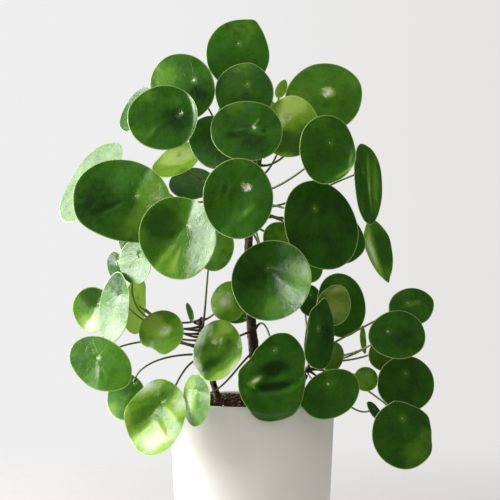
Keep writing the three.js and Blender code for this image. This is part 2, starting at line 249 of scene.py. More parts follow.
# Where one part of the room fades into the next, along the axis that leads there.
FADES = {"behind": (-0.5, 0.7), "above": (0.1, 1.0), "far_left": (-0.75, -1.0),
         "mirrored_ceiling": (0.86, 0.98), "seen_right": (-0.1, 0.2)}


def room_light():
    """Dim and warm in front of the plant, pale behind and above it."""
    recipe = Recipe(bpy.data.worlds.new("room"))
    across, along, up = recipe.parts(recipe.node("TexCoord", {}).outputs["Generated"])
    behind = recipe.ramp(along, *FADES["behind"])
    above = recipe.ramp(up, *FADES["above"])
    colour = recipe.blend(behind, ROOM["front"], ROOM["wall"])
    colour = recipe.blend(above, colour, ROOM["ceiling"])
    left = recipe.ramp(across, *FADES["far_left"])
    high = recipe.ramp(up, *FADES["mirrored_ceiling"])
    mirrored = recipe.blend(left, ROOM["dark"], ROOM["pale"])
    mirrored = recipe.blend(high, mirrored, ROOM["ceiling"])
    right = recipe.ramp(across, *FADES["seen_right"])
    seen = recipe.blend(right, ROOM["seen"], ROOM["seen_right"])
    path = recipe.node("LightPath", {}).outputs
    colour = recipe.blend(path["Is Glossy Ray"], colour, mirrored)
    colour = recipe.blend(path["Is Camera Ray"], colour, seen)
    glow = recipe.node("Background", {"Color": colour, "Strength": 1.0}).outputs[0]
    return recipe.finish(glow, "OutputWorld")


scene.world = room_light()
print("a room of", len(ROOM), "colours")

# %% [markdown]
# ## The windows
#
# A tall window stands on the left of the plant, level with it, and another farther back. They
# light the left of the pot and every leaf that is turned that way. Area lights give that soft
# light. The white sheen on a leaf is the window's mirror image, and it is brighter than the light
# alone would make it, so each window has a curtain: a second light that only gloss can see.

# %% Windows
# Place, width and height in metres, power in watts, and colour.
WINDOWS = {
    "window": ((-1.5, -0.22, 0.75), (1.05, 1.1), 38, (1.0, 0.99, 0.97)),
    "window_behind": ((-1.3, 0.95, 0.75), (1.0, 0.9), 16, (1.0, 1.0, 0.98)),
}
CURTAINS = {
    "curtain_left": ((-1.5, -0.10, 0.68), (1.1, 0.9), 37, (1.0, 1.0, 0.99)),
    "curtain_behind": ((-1.3, 0.95, 0.42), (1.0, 0.5), 15, (1.0, 1.0, 0.99)),
}


def soft_light(name, place, size, power, colour):
    """An area light that looks at the middle of the crown."""
    lamp = bpy.data.lights.new(name, "AREA")
    lamp.shape = "RECTANGLE"
    lamp.size, lamp.size_y = size
    lamp.energy = power
    lamp.color = colour
    made = bpy.data.objects.new(name, lamp)
    scene.collection.objects.link(made)
    made.location = place
    aim = Vector(CAMERA["aim"]) * MM
    made.rotation_euler = (aim - made.location).to_track_quat("-Z", "Y").to_euler()
    made.visible_camera = False
    return made


for name, row in WINDOWS.items():
    soft_light(name, *row)
for name, row in CURTAINS.items():
    curtain = soft_light(name, *row)
    curtain.visible_diffuse = False
    curtain.visible_transmission = False
print(len(WINDOWS), "windows on the left, with a curtain in each")

# %% [markdown]
# ## The floor
#
# The photograph ends above the floor, but the other views show it. A plain disc does, as long as
# it has no edge: its paint fades to clear, so it melts into the wall in any view.

# %% Floor
FLOOR = {"radius": 1.4, "sides": 96, "fade": (0.16, 0.85), "paint": (0.52, 0.515, 0.51, 1),
         "rough": 0.85}


def floor_paint():
    recipe = new_finish("pale_floor")
    fade = recipe.ramp(recipe.length(recipe.place()), *FLOOR["fade"])
    paint = recipe.surface(FLOOR["paint"], FLOOR["rough"], None)
    clear = recipe.node("BsdfTransparent", {}).outputs[0]
    return recipe.finish(recipe.node("MixShader", {0: fade, 1: paint, 2: clear}).outputs[0])


bpy.ops.mesh.primitive_circle_add(
    vertices=FLOOR["sides"], radius=FLOOR["radius"], fill_type="NGON"
)
floor = bpy.context.object
floor.name = "floor"
floor.data.materials.append(floor_paint())
print("floor of", FLOOR["radius"], "m")

# %% [markdown]
# ## Gathering a mesh
#
# The plant's surfaces are too regular for modelling by hand and too many. Each is computed as
# rings of points and the faces between them. A Shape gathers those before Blender sees them. Every
# point carries three charts for its material: where it lies on the blade, how far it is from the
# margin and along the petiole, and how much painted light, painted shade, paler or darker tissue
# and pale star it has there.

# %% Shape
# The third chart holds painted light and painted shade, with paler or darker tissue, and the pale star.
CHARTS = ("blade", "edge", "shade")  # two numbers each


class Shape:
    """Points in millimetres, faces, and the number of each face's material."""

    def __init__(self):
        self.points = []
        self.charts = []
        self.faces = []
        self.finish = []

    def put(self, points, chart=None):
        """Adds points with their chart numbers, and returns the number of the first."""
        first = len(self.points)
        points = np.asarray(points, float).reshape(-1, 3)
        self.points.extend(points.tolist())
        rows = np.zeros((len(points), 2 * len(CHARTS)))
        if chart is not None:
            given = np.asarray(chart, float).reshape(len(points), -1)
            rows[:, :given.shape[1]] = given
        self.charts.extend(rows.tolist())
        return first

    def face(self, corners, finish):
        self.faces.append(tuple(corners))
        self.finish.append(finish)

    def band(self, low, high, count, finish):
        """Quads between two closed rings with as many points each."""
        for i in range(count):
            j = (i + 1) % count
            self.face((low + i, low + j, high + j, high + i), finish)

    def tube(self, rings, count, finish, flip=False):
        """Bands from each ring to the next."""
        for low, high in zip(rings, rings[1:]):
            self.band(*((high, low) if flip else (low, high)), count, finish)

    def fan(self, ring, tip, count, finish, flip=False):
        """Triangles from a closed ring to one point."""
        for i in range(count):
            j = (i + 1) % count
            self.face((ring + j, ring + i, tip) if flip else (ring + i, ring + j, tip), finish)

    def widen(self, small, few, large, many, finish):
        """Triangles from a ring with few points to one with a multiple of them."""
        step = many // few
        half = step // 2
        for i in range(few):
            here, following = small + i, small + (i + 1) % few
            for k in range(step):
                a, b = large + i * step + k, large + (i * step + k + 1) % many
                self.face((here if k < half else following, a, b), finish)
            self.face((here, large + i * step + half, following), finish)


print("a point carries", len(CHARTS), "charts")

# %% Pieces from shapes
def face_outwards(mesh):
    """Turns every closed skin of the mesh so that its faces look out."""
    skin = bmesh.new()
    skin.from_mesh(mesh)
    bmesh.ops.recalc_face_normals(skin, faces=skin.faces)
    skin.to_mesh(mesh)
    skin.free()


def chart_points(mesh, shape):
    """Writes the charts into the mesh, one pair of numbers for each corner of a face."""
    corners = np.zeros(len(mesh.loops), np.int32)
    mesh.loops.foreach_get("vertex_index", corners)
    charts = np.array(shape.charts)[corners]
    for number, name in enumerate(CHARTS):
        layer = mesh.uv_layers.new(name=name)
        layer.data.foreach_set("uv", charts[:, 2 * number:2 * number + 2].ravel())


def make_piece(name, shape, materials, nodes=()):
    """Turns a Shape into a piece of the plant, in the place of the solids named."""
    mesh = bpy.data.meshes.new(name)
    mesh.from_pydata((np.array(shape.points) * MM).tolist(), [], shape.faces)
    face_outwards(mesh)
    mesh.polygons.foreach_set("material_index", shape.finish)
    mesh.polygons.foreach_set("use_smooth", [True] * len(shape.faces))
    chart_points(mesh, shape)
    for material in materials:
        mesh.materials.append(material)
    piece = bpy.data.objects.new(name, mesh)
    scene.collection.objects.link(piece)
    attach(piece, "root")
    if nodes:
        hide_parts(*nodes)
    return piece


print("shapes are ready")

# %% [markdown]
# ## The pot
#
# A plain ceramic cover pot, slightly tapered, with a thin rounded rim. It was thrown or cast round,
# so its outline is turned about the middle line. A cylinder with a bevel would be quicker, but it
# has no thickness and no round lip.

# %% Pot
POT = {"height": 140, "rim": 75, "foot": 68.5, "wall": 4.5, "floor": 6, "bevel": 1.5,
       "corner": 4, "sides": 144}
# Where the skin has rings: radii underneath, shares of the wall, heights and radii inside.
POT_RINGS = {"underside": (0, 40, 64), "wall": np.linspace(0.03, 0.97, 12),
             "inside": (125, 90, 50), "floor": (30, 0)}
# Each bend of the outline: from which direction to which, and its rings.
POT_BENDS = {"bevel": (-90, -3, 5), "lip": (0, 180, 13), "corner": (0, -90, 6)}


def pot_inside(height):
    """Radius of the pot's inner wall at a height."""
    return POT["foot"] + (POT["rim"] - POT["foot"]) * height / POT["height"] - POT["wall"]


def arc(middle, radius, start, end, steps):
    """Points [radius, height] on an arc, from one direction to another in degrees."""
    return [np.add(middle, np.multiply(radius, heading(way))).tolist()
            for way in np.linspace(start, end, steps)]


def turned(shape, profile, sides):
    """Rings about Z through [radius, height] pairs; the first and last pair lie on the axis."""
    turns = turn_points(sides)
    bottom = shape.put([[0, 0, profile[0][1]]])
    rings = [shape.put(level_ring(*pair, turns)) for pair in profile[1:-1]]
    top = shape.put([[0, 0, profile[-1][1]]])
    shape.fan(rings[0], bottom, sides, 0, flip=True)
    shape.tube(rings, sides, 0)
    shape.fan(rings[-1], top, sides, 0)


def pot_profile():
    """From the middle of the underside up the wall, over the rim and down to the floor."""
    foot, rim, height = POT["foot"], POT["rim"], POT["height"]
    floor, corner, bevel, lip = POT["floor"], POT["corner"], POT["bevel"], POT["wall"] / 2
    outline = [[radius, 0] for radius in POT_RINGS["underside"]]
    outline += arc((foot - bevel, bevel), bevel, *POT_BENDS["bevel"])
    outline += ([foot, 0] + POT_RINGS["wall"][:, None] * [rim - foot, height]).tolist()
    outline += arc((rim - lip, height - lip), lip, *POT_BENDS["lip"])
    low = floor + corner
    outline += [[pot_inside(z), z] for z in (*POT_RINGS["inside"], low)]
    outline += arc((pot_inside(low) - corner, low), corner, *POT_BENDS["corner"])[1:]
    return outline + [[radius, floor] for radius in POT_RINGS["floor"]]


pot = Shape()
turned(pot, pot_profile(), POT["sides"])
print("pot:", len(pot.points), "points")

# %% [markdown]
# ## The glaze
#
# The white glaze is satin, with the slight unevenness of a dipped surface: wide waves that bend
# the window's image, and a fine orange peel. The ring that the pot stands on is bare clay.

# %% Glaze
GLAZE = {"white": ((0.85, 0.828, 0.802, 1), (0.88, 0.858, 0.832, 1)), "patches": (14, 3),
         "gloss": ((60, 4), (0.3, 0.7, 0.36, 0.48)), "index": 1.5,
         "waves_and_peel": (((22, 2), 0.0006), ((420, 2), 0.00004))}
CLAY = {"colours": ((0.55, 0.48, 0.40, 1), (0.7, 0.63, 0.55, 1)), "grain": (900,), "rough": 0.85,
        "below": (0.0012, 0.0008)}


def glaze():
    recipe = new_finish("white_glaze")
    place = recipe.place()
    white = recipe.patchy(place, GLAZE["patches"], GLAZE["white"])
    clay = recipe.patchy(place, CLAY["grain"], CLAY["colours"])
    bare = recipe.ramp(recipe.parts(place)[2], *CLAY["below"])
    rough = recipe.uneven(place, *GLAZE["gloss"])
    rough = recipe.maths("MAXIMUM", rough, recipe.times(bare, CLAY["rough"]))
    bumps = recipe.bumpy(place, GLAZE["waves_and_peel"])
    colour = recipe.blend(bare, white, clay)
    return recipe.finish(recipe.surface(colour, rough, bumps, GLAZE["index"]))


make_piece("plant_pot", pot, [glaze()], ["pot"])
print("the pot is glazed")

# %% [markdown]
# ## The potting soil
#
# The soil fills the pot to just under the rim. Peat has no outline of its own: it is a lumpy
# surface with loose crumbs, splinters of bark and white grains of perlite on it. The lumps could
# be a bump in the material, but seen from the side they would vanish, so the surface itself is
# moved by noise and the loose bits are small solids.

# %% Where the stems stand
# Points along each stem: x, y, height and radius. The second one is where it leaves the soil.
STEMS = {
    "main": [
        (4, 0, 118, 4.9), (4, 0, 140, 5), (1, -2, 189, 4.6), (-1, -3, 211, 4.3),
        (-3, -4, 284, 3.5), (2, -2, 330, 3.2), (7, 0, 362, 2.4),
    ],
    "left": [
        (-31, 4, 118, 2.8), (-32, 4, 142, 2.9), (-41, 1, 170, 2.6), (-46, -2, 190, 2.3),
        (-46, -3, 214, 1.7),
    ],
    "right": [
        (42, 6, 118, 2.8), (43, 6, 142, 2.9), (48, 2, 161, 2.6), (56, -1, 176, 2.4),
        (66, -3, 190, 1.9),
    ],
}
FEET = [points[1] for points in STEMS.values()]
print(len(FEET), "stems stand in the soil")

# %% Soil surface
SOIL = {"edge": 137.4, "crown": 138.6, "gap": 0.3, "sides": 150, "rings": 46}
LUMPS = ((9, 3, 1), (3.1, 9, 0.6), (1.3, 1, 0.35))  # how wide, from which noise, and how high
FLATTER = (0.5, 6)  # share of their height that lumps lose at the wall, and its power
HEAP = (1.4, 4)  # height of the soil heaped against a stem, and how far it reaches
SKIRT = ((120, 0), (60, 0), (12, 0), (7.3, 4))  # rings below the edge: height, and how far in
SOIL_RADIUS = pot_inside(SOIL["edge"]) - SOIL["gap"]


def soil_height(x, y):
    """Height of the soil's surface: a low mound, lumps, and a small heap round each stem."""
    share = min(1, math.hypot(x, y) / SOIL_RADIUS)
    height = SOIL["edge"] + (SOIL["crown"] - SOIL["edge"]) * (1 - share ** 2)
    lumps = sum(high * noise.noise(Vector((x, y, level)) / wide) for wide, level, high in LUMPS)
    height += lumps * (1 - FLATTER[0] * share ** FLATTER[1])
    for foot_x, foot_y, _, radius in FEET:
        away = math.hypot(x - foot_x, y - foot_y) - radius
        height += HEAP[0] * math.exp(-max(0, away) / HEAP[1])
    return height


def soil_surface():
    shape = Shape()
    sides = SOIL["sides"]
    turns = turn_points(sides)
    middle = shape.put([[0, 0, soil_height(0, 0)]])
    rings = []
    for radius in np.linspace(0, 1, SOIL["rings"] + 1)[1:] * SOIL_RADIUS:
        spots = [(radius * math.cos(t), radius * math.sin(t)) for t in turns]
        rings.append(shape.put([(x, y, soil_height(x, y)) for x, y in spots]))
    for height, inset in SKIRT:
        radius = pot_inside(height) - SOIL["gap"] - inset
        rings.append(shape.put(level_ring(radius, height, turns)))
    bottom = shape.put([[0, 0, SKIRT[-1][0]]])
    shape.fan(rings[0], middle, sides, 0)
    shape.tube(rings, sides, 0, flip=True)
    shape.fan(rings[-1], bottom, sides, 0, flip=True)
    return shape


soil = soil_surface()
print("soil to a radius of", round(SOIL_RADIUS, 1), "mm")

# %% Peat
PEAT = {"colours": ((0.010, 0.005, 0.003, 1), (0.06, 0.022, 0.010, 1)), "grain": (240, 4, 0.7),
        "fibre": (0.13, 0.05, 0.022, 1), "fibres": ((700, 2), (0.58, 0.68)), "rough": 0.9,
        "crumbly": [((520, 4, 0.65), 0.0012)], "mirrors": 0.12}


def peat():
    recipe = new_finish("peat")
    place = recipe.place()
    colour = recipe.patchy(place, PEAT["grain"], PEAT["colours"])
    colour = recipe.blend(recipe.uneven(place, *PEAT["fibres"]), colour, PEAT["fibre"])
    bumps = recipe.bumpy(place, PEAT["crumbly"])
    return recipe.finish(recipe.surface(colour, PEAT["rough"], bumps, mirrors=PEAT["mirrors"]))


PEAT_SKIN = peat()
make_piece("soil_surface", soil, [PEAT_SKIN], ["soil"])
print("the soil is covered with peat")

# %% [markdown]
# ## Crumbs, bark and perlite
#
# The loose bits are what makes potting soil look like soil at close range. A particle system could
# scatter them, but it would hand over copies of one grain. A loop makes each grain on its own: a
# small ball, stretched and pushed in and out by noise, sunk a little into the surface.

# %% Loose bits
GRAIN_STRETCH = ((0.7, 1.5), (0.6, 1.1))  # between which shares a grain is long and wide
GRAIN_LUMPS = (1.7, 0.35)  # how many lumps a grain has, and how high they are
GRAIN_FACETS = 2  # how often the faces of the small ball are divided
CLEAR_OF_STEM = 0.8
CHIPPED = {"finer": 6, "depth": 0.0003, "mirrors": 0.2}  # the bumps on a grain, and its gloss


def lump(shape, middle, size, chance, flat):
    """A rough closed grain: a small ball whose points are pushed in and out."""
    ball = bmesh.new()
    bmesh.ops.create_icosphere(ball, subdivisions=GRAIN_FACETS, radius=1)
    turn = Matrix.Rotation(chance.uniform(0, FULL_TURN), 3, "Z")
    stretch = Vector([*(chance.uniform(*reach) for reach in GRAIN_STRETCH), flat]) * size
    points = []
    for point in ball.verts:
        push = 1 + GRAIN_LUMPS[1] * noise.noise(point.co * GRAIN_LUMPS[0] + Vector(middle))
        points.append(turn @ (point.co * push * stretch) + Vector(middle))
    first = shape.put(points)
    for face in ball.faces:
        shape.face([first + corner.index for corner in face.verts], 0)
    ball.free()


def soil_place(chance, margin):
    """A random place on the soil, clear of the stems."""
    while True:
        radius = (SOIL_RADIUS - margin) * math.sqrt(chance.uniform(0, 1))
        turn = chance.uniform(0, FULL_TURN)
        x, y = radius * math.cos(turn), radius * math.sin(turn)
        if all(math.hypot(x - foot[0], y - foot[1]) > foot[3] + margin for foot in FEET):
            return x, y


def loose_bits(name, material, count, sizes, seed, flat=0.8, sink=0.2):
    """Grains of one kind, scattered over the soil and never higher than the rim."""
    chance = np.random.default_rng(seed)
    shape = Shape()
    for _ in range(count):
        size = chance.uniform(*sizes)
        x, y = soil_place(chance, size + CLEAR_OF_STEM)
        height = soil_height(x, y) + size * flat * (0.5 - sink)
        lump(shape, (x, y, min(height, POT["height"] - size * flat)), size, chance, flat)
    make_piece(name, shape, [material])
    print(name, count)


def plain_grain(name, dark, light, scale, rough):
    """One colour that varies from grain to grain."""
    recipe = new_finish(name)
    place = recipe.place()
    colour = recipe.patchy(place, (scale, 3), (dark, light))
    bumps = recipe.bumpy(place, [((scale * CHIPPED["finer"], 3), CHIPPED["depth"])])
    return recipe.finish(recipe.surface(colour, rough, bumps, mirrors=CHIPPED["mirrors"]))


BARK_CHIP = plain_grain("bark_chip", (0.05, 0.014, 0.006, 1), (0.17, 0.06, 0.025, 1), 120, 0.85)
PERLITE = plain_grain("perlite", (0.45, 0.42, 0.38, 1), (0.85, 0.83, 0.8, 1), 200, 0.7)
loose_bits("soil_crumbs", PEAT_SKIN, count=520, sizes=(0.7, 2.1), seed=1)
loose_bits("bark_chips", BARK_CHIP, count=110, sizes=(1.2, 2.8), seed=2, flat=0.35, sink=0.1)
loose_bits("perlite_grains", PERLITE, count=34, sizes=(0.5, 1.2), seed=3)

# %% [markdown]
# ## Lines through the plant
#
# Stems and petioles are both tubes about a curved line. Each stem's line is a smooth curve through
# the few points above, the one that the solid model uses, so the leaves meet it where they should.
# A curve object could be bevelled into a tube, but its rings could carry neither scars nor charts,
# so the rings are placed one by one. Each takes its direction from the ring before, or the tube
# would twist.

# %% Stem lines
STEM_STEPS = 40  # points between two rows of a stem


def smooth_piece(p0, p1, p2, p3, share):
    """A point between p1 and p2 on the centripetal Catmull-Rom curve through four points."""
    d0, d1, d2 = (math.sqrt(np.linalg.norm(b - a)) for a, b in ((p0, p1), (p1, p2), (p2, p3)))
    start = ((p1 - p0) / d0 - (p2 - p0) / (d0 + d1) + (p2 - p1) / d1) * d1
    end = ((p2 - p1) / d1 - (p3 - p1) / (d1 + d2) + (p3 - p2) / d2) * d1
    cubic = 2 * p1 - 2 * p2 + start + end
    square = -3 * p1 + 3 * p2 - 2 * start - end
    return p1 + start * share + square * share ** 2 + cubic * share ** 3


def stem_line(name):
    """Points along a stem's middle, with its radius as a fourth number."""
    rows = np.array(STEMS[name], float)
    middles = rows[:, :3]
    spots = np.vstack([2 * middles[0] - middles[1], middles, 2 * middles[-1] - middles[-2]])
    shares = np.linspace(0, 1, STEM_STEPS, endpoint=False)
    line = [smooth_piece(*spots[i:i + 4], share) for i in range(len(rows) - 1) for share in shares]
    line = np.array(line + [middles[-1]])
    return np.column_stack([line, np.interp(line[:, 2], rows[:, 2], rows[:, 3])])


LINES = {name: stem_line(name) for name in STEMS}


def stem_at(name, height):
    """Middle, direction and radius of a stem at a height."""
    line = LINES[name]
    i = int(np.clip(np.searchsorted(line[:, 2], height), 1, len(line) - 1))
    low, high = line[i - 1], line[i]
    spot = low + (high - low) * (height - low[2]) / (high[2] - low[2])
    return spot[:3], unit((high - low)[:3]), spot[3]


def run_along(line):
    """How far along a line each of its points lies."""
    return np.concatenate([[0], np.cumsum(np.linalg.norm(np.diff(line, axis=0), axis=1))])


def points_at(line, run, stops):
    """The points of a line that lie so far along it."""
    return np.stack([np.interp(stops, run, column) for column in line.T], 1)


def hoops(line, ways, side, turns):
    """For each point of a line: the point, and a circle of radius 1 square to its way there."""
    for spot, way in zip(line, ways):
        way = unit(way)
        side = square_to(side, way)
        yield spot, hoop(turns, side, np.cross(way, side))


print({name: len(line) for name, line in LINES.items()})

# %% [markdown]
# ## The leaves' table
#
# Every leaf has a row: where its middle is, which way its upper side looks, how wide and long the
# blade is, how it leans, where the petiole meets it, and where that petiole leaves the stem. The
# rows are those of the solid model. The rest of a leaf is worked out from its row.

# %% Leaves
def leaf(at, face, half, lean, dot, stem, height, cup, **more):
    """One leaf's row.

    at            middle of the blade
    face          where the upper side looks: degrees right of the front, and above level
    half          half width and half length of the blade
    lean          how far the blade's length leans from upright, degrees, to the left if positive
    dot           where the petiole meets the blade, from the middle: across and up
    stem, height  the stem that carries it, and the height where the petiole leaves that stem
    cup           how far the margin stands in front of the middle; behind it if negative
    curl          [direction in degrees, distance] that one side bends back; 0 is right, 90 is up
    corner        [direction in degrees, share of the radius] of a blunt corner in the outline
    via           one or two points that the petiole bends towards on its way
    """
    return {"at": at, "face": face, "half": half, "lean": lean, "dot": dot,
            "root": (stem, height), "cup": cup, **more}


LEAVES = {
    # the crown
    "front_middle": leaf((-12, -96, 321), (-5, 14), (30, 36), 4, (7, 10), "main", 336, -4),
    "front_low": leaf((16, -86, 250), (2, 14), (34, 36), -5, (-2, 13), "main", 300, 5),
    "front_left": leaf((-63, -80, 287), (-14, 14), (34, 37), 32, (5, 12), "main", 308, 4),
    "crown_mid": leaf((-5, -60, 380), (-3, 24), (32, 30), -16, (6, 4), "main", 351, -3),
    "crown_right_front": leaf((65, -64, 364), (14, 14), (25, 32), -10, (3, 6), "main", 328, -3,
        curl=(-40, -5)),
    "side_left_large": leaf((-112, -64, 319), (-20, 16), (44, 36), -19, (10, 5), "main", 319, 4,
        corner=(215, 0.06)),
    "crown_right_low": leaf((60, -58, 298), (10, 12), (32, 41), 18, (-5, 15), "main", 319, -3),
    "crown_left_front": leaf((-78, -52, 392), (-24, 18), (30, 32), 42, (12, 6), "main", 348, -4,
        curl=(10, 5), via=((-30, -8, 368), (-58, -30, 394))),
    "crown_bright": leaf((33, -40, 383), (6, 20), (26, 30), -8, (-1, 10), "main", 341, 4,
        via=((22, -8, 350),)),
    "crown_inner": leaf((-35, -46, 371), (-38, 15), (20, 26), 34, (2, 7), "main", 344, -2),
    "crown_upper": leaf((-7, -30, 415), (-4, 22), (26, 31), 7, (2, 9), "main", 356, -3),
    "crown_left_high": leaf((-63, -22, 421), (-20, 16), (29, 34), 38, (10, 6), "main", 354, -3),
    "crown_left_back": leaf((-103, -14, 401), (-56, 24), (22, 23), 40, (5, 6), "main", 346, 2,
        via=((-20, 4, 372), (-80, 0, 392))),
    "crown_right_high": leaf((65, -6, 413), (14, 22), (33, 37), -45, (2, 4), "main", 352, -3),
    "crown_top": leaf((-13, 4, 453), (-3, 16), (29, 34), 3, (0, 10), "main", 359, -3,
        corner=(65, 0.05)),
    "crown_glow": leaf((-68, -14, 355), (-14, 46), (23, 24), -12, (1, 9), "main", 328, 3,
        via=((-30, -12, 330), (-62, -2, 336))),
    "crown_shade": leaf((-55, 16, 336), (-8, 46), (23, 20), -35, (10, 3), "main", 329, -2),
    "side_left_pale": leaf((-147, 10, 336), (-57, 28), (46, 43), 6, (8, 11), "main", 314, 2,
        via=((-50, 4, 306), (-110, 24, 322))),
    "side_right_edge": leaf((102, -30, 334), (69, 4), (38, 36), 12, (-3, 11), "main", 314, 2),
    "side_right_fold": leaf((114, 0, 275), (70, 16), (25, 29), -17, (-1, 10), "main", 309, 3),
    "crown_right_tuck": leaf((80, -30, 286), (20, 10), (21, 23), 15, (-1, 9), "main", 304, 0,
        corner=(-20, 0.08), via=((35, -8, 307), (62, -8, 300))),
    "low_inner_right": leaf((37, -16, 273), (20, 6), (21, 33), 43, (-3, 9), "main", 296, -2),

    # the left shoot
    "low_inner_left": leaf((-36, -30, 280), (-36, 10), (20, 24), 23, (1, 8), "left", 207, -2,
        via=((-41, -12, 225), (-41, -24, 262))),
    "shoot_left_front": leaf((-83, -76, 131), (-12, 22), (28, 36), 7, (3, 15), "left", 177, 4,
        via=((-66, -14, 178),)),
    "shoot_mid_front": leaf((-31, -46, 187), (-6, 16), (23, 29), 4, (-3, 8), "main", 201, -3),
    "shoot_left_low": leaf((-133, -62, 177), (-22, 18), (32, 22), -29, (-3, 5), "left", 186, -2,
        via=((-75, -14, 198), (-112, -38, 197))),
    "shoot_left_sheen": leaf((-102, -54, 265), (-44, 5), (21, 19), -29, (3, 7), "left", 202, 3,
        via=((-84, -30, 207), (-122, -34, 214))),
    "shoot_left_bright": leaf((-80, -50, 204), (-12, 22), (20, 22), 40, (2, 4), "left", 190, -3),
    "shoot_left_slim": leaf((-121, -40, 225), (-62, 4), (27, 33), -31, (3, 10), "left", 199, 4,
        via=((-84, -14, 198), (-104, -48, 216))),
    "shoot_left_strip": leaf((-48, -88, 148), (-64, 4), (22, 23), 27, (-1, 8), "main", 181, 2,
        via=((-14, -24, 172), (-32, -60, 140))),
    "shoot_left_under": leaf((-112, -40, 145), (-16, 30), (18, 26), 22, (4, 15), "left", 181, -2,
        via=((-80, -12, 182), (-104, -26, 172))),
    "shoot_mid_upper": leaf((-21, -24, 229), (4, 18), (16, 19), -4, (-1, 6), "left", 212, 2),
    "shoot_left_hidden": leaf((-108, -24, 282), (-20, 20), (13, 11), -23, (0, 5), "left", 211, -1,
        via=((-84, 20, 200), (-124, 16, 222))),
    "shoot_left_curl": leaf((-106, -14, 225), (68, -14), (19, 25), 4, (4, 8), "left", 196, 3),
    "shoot_left_far": leaf((-145, 14, 220), (-20, 20), (23, 20), -31, (2, 6), "left", 193, 2),
    "shoot_left_tuck": leaf((-123, -2, 259), (-54, 6), (16, 14), -30, (3, 6), "left", 205, -1,
        via=((-88, 12, 196), (-130, 14, 216))),
    "shoot_mid_sliver": leaf((-12, 14, 216), (8, 50), (15, 11), 29, (1, 3), "main", 212, -1),

    # the right shoot and the leaves low on the main stem
    "front_rim": leaf((18, -70, 166), (0, 18), (29, 40), -17, (1, 24), "main", 205, 2,
        via=((14, -14, 222),)),
    "right_inner_front": leaf((58, -82, 202), (54, -2), (28, 29), -37, (-4, 7), "right", 172, 2),
    "right_far_bottom": leaf((131, -70, 115), (16, 16), (29, 30), -18, (1, 15), "right", 168, -2,
        corner=(30, 0.05), via=((80, -6, 168), (112, -40, 146))),
    "right_far_mid": leaf((127, -64, 202), (22, 24), (29, 22), 13, (-9, 4), "right", 184, -2),
    "right_rim": leaf((68, -62, 150), (8, 20), (28, 21), 31, (-1, 10), "right", 164, 2),
    "right_far_low": leaf((136, -46, 158), (22, 20), (29, 25), 19, (1, 9), "right", 178, -2),
    "right_brown": leaf((72, -38, 226), (10, 16), (15, 19), -18, (-3, -5), "right", 187, 2),
    "right_lower_tuck": leaf((71, -34, 181), (16, 14), (11, 14), -21, (1, 5), "right", 170, -1),
    "right_small": leaf((101, -36, 161), (16, 24), (12, 11), 41, (1, 4), "right", 175, -1),
    "right_far_top": leaf((142, -30, 225), (24, 26), (24, 18), 23, (-3, 4), "right", 188, -2,
        via=((84, -18, 199), (118, -14, 214))),
    "right_far_edge": leaf((110, -24, 130), (65, 33), (12, 11), -44, (1, 4), "right", 166, 1),
    "right_far_tuck": leaf((117, -28, 182), (18, 16), (14, 15), -44, (-1, 6), "right", 180, -1),
    "right_upper_back": leaf((81, 0, 225), (22, 12), (25, 30), -10, (3, 10), "right", 185, -2),
    "right_tuck": leaf((53, 22, 228), (44, 6), (14, 15), -41, (2, 5), "right", 174, -1),

    # the back
    "back_high": leaf((-2, 62, 398), (165, 38), (31, 33), 8, (1, 9), "main", 349, -3),
    "back_left": leaf((-98, 60, 300), (-140, 30), (33, 35), -12, (2, 10), "main", 326, -3),
    "back_right": leaf((66, 70, 300), (142, 26), (34, 36), 14, (-2, 10), "main", 311, 3),
    "back_low": leaf((20, 72, 248), (178, 24), (29, 30), -6, (1, 9), "main", 292, -3),
}

# Young leaves at the growing tips, which are one piece with their stem.
YOUNG_LEAVES = {
    "main": leaf((26, 2, 420), (10, 30), (5, 11), -25, (-2, -6), "main", 360, 3, via=((10, 0, 385),)),
    "left": leaf((-56, -6, 218), (-30, 12), (3, 10), 24, (2, -6), "left", 208, 1, via=((-53, 3, 207),)),
    "right": leaf((101, 4, 193), (20, 10), (3, 13), 2, (0, -8), "right", 171, 1, via=((82, 10, 174),)),
}
print(len(LEAVES), "leaves and", len(YOUNG_LEAVES), "young ones")

# %% [markdown]
# ## The outline of a blade
#
# A blade is nearly round. Its margin is an oval that wavers a little, and on some leaves it bulges
# to a blunt corner or runs straighter for a while. A drawn outline for every leaf would look no
# better, so each is an oval with a few changes.

# %% Outline
WAVERS = ((3, 0.006), (5, 0.004), (8, 0.002))  # how many, and their share of the radius
CORNER_POWER = 12  # a higher one makes a corner narrower
# Where a margin bulges to a blunt corner, or runs straighter: [direction, share, width] seen from
# the middle, with the share of the radius that is added over width degrees.
MARGINS = {
    "crown_top": [(66, 0.05, 9), (25, -0.03, 22)],
    "crown_mid": [(50, 0.03, 14), (-45, 0.03, 14), (0, -0.02, 16)],
    "shoot_left_bright": [(248, -0.15, 22), (212, 0.03, 10), (284, 0.04, 12)],
    "front_rim": [(110, -0.1, 16), (138, -0.14, 18), (304, 0.14, 22), (12, -0.08, 16), (172, 0.05, 9),
                  (232, -0.04, 14), (70, 0.03, 12)],
    "right_far_bottom": [(98, 0.04, 8), (30, 0.06, 9), (64, -0.04, 14), (-8, -0.05, 14)],
    "side_right_fold": [(266, 0.1, 14), (90, 0.04, 12)],
    "right_inner_front": [(80, 0.16, 17), (205, -0.05, 20)],
    "right_rim": [(195, 0.05, 10), (160, -0.03, 14)],
    "shoot_left_low": [(-30, 0.05, 14), (225, -0.03, 20)],
    "shoot_left_slim": [(265, 0.05, 16)],
    "crown_left_back": [(270, 0.05, 16)],
    "right_far_top": [(15, 0.03, 12), (200, 0.03, 12)],
    "crown_upper": [(82, 0.04, 12)],
    "shoot_mid_front": [(255, 0.03, 10), (225, -0.05, 16), (310, -0.05, 16)],
    "side_right_edge": [(180, 0.17, 45)],
}


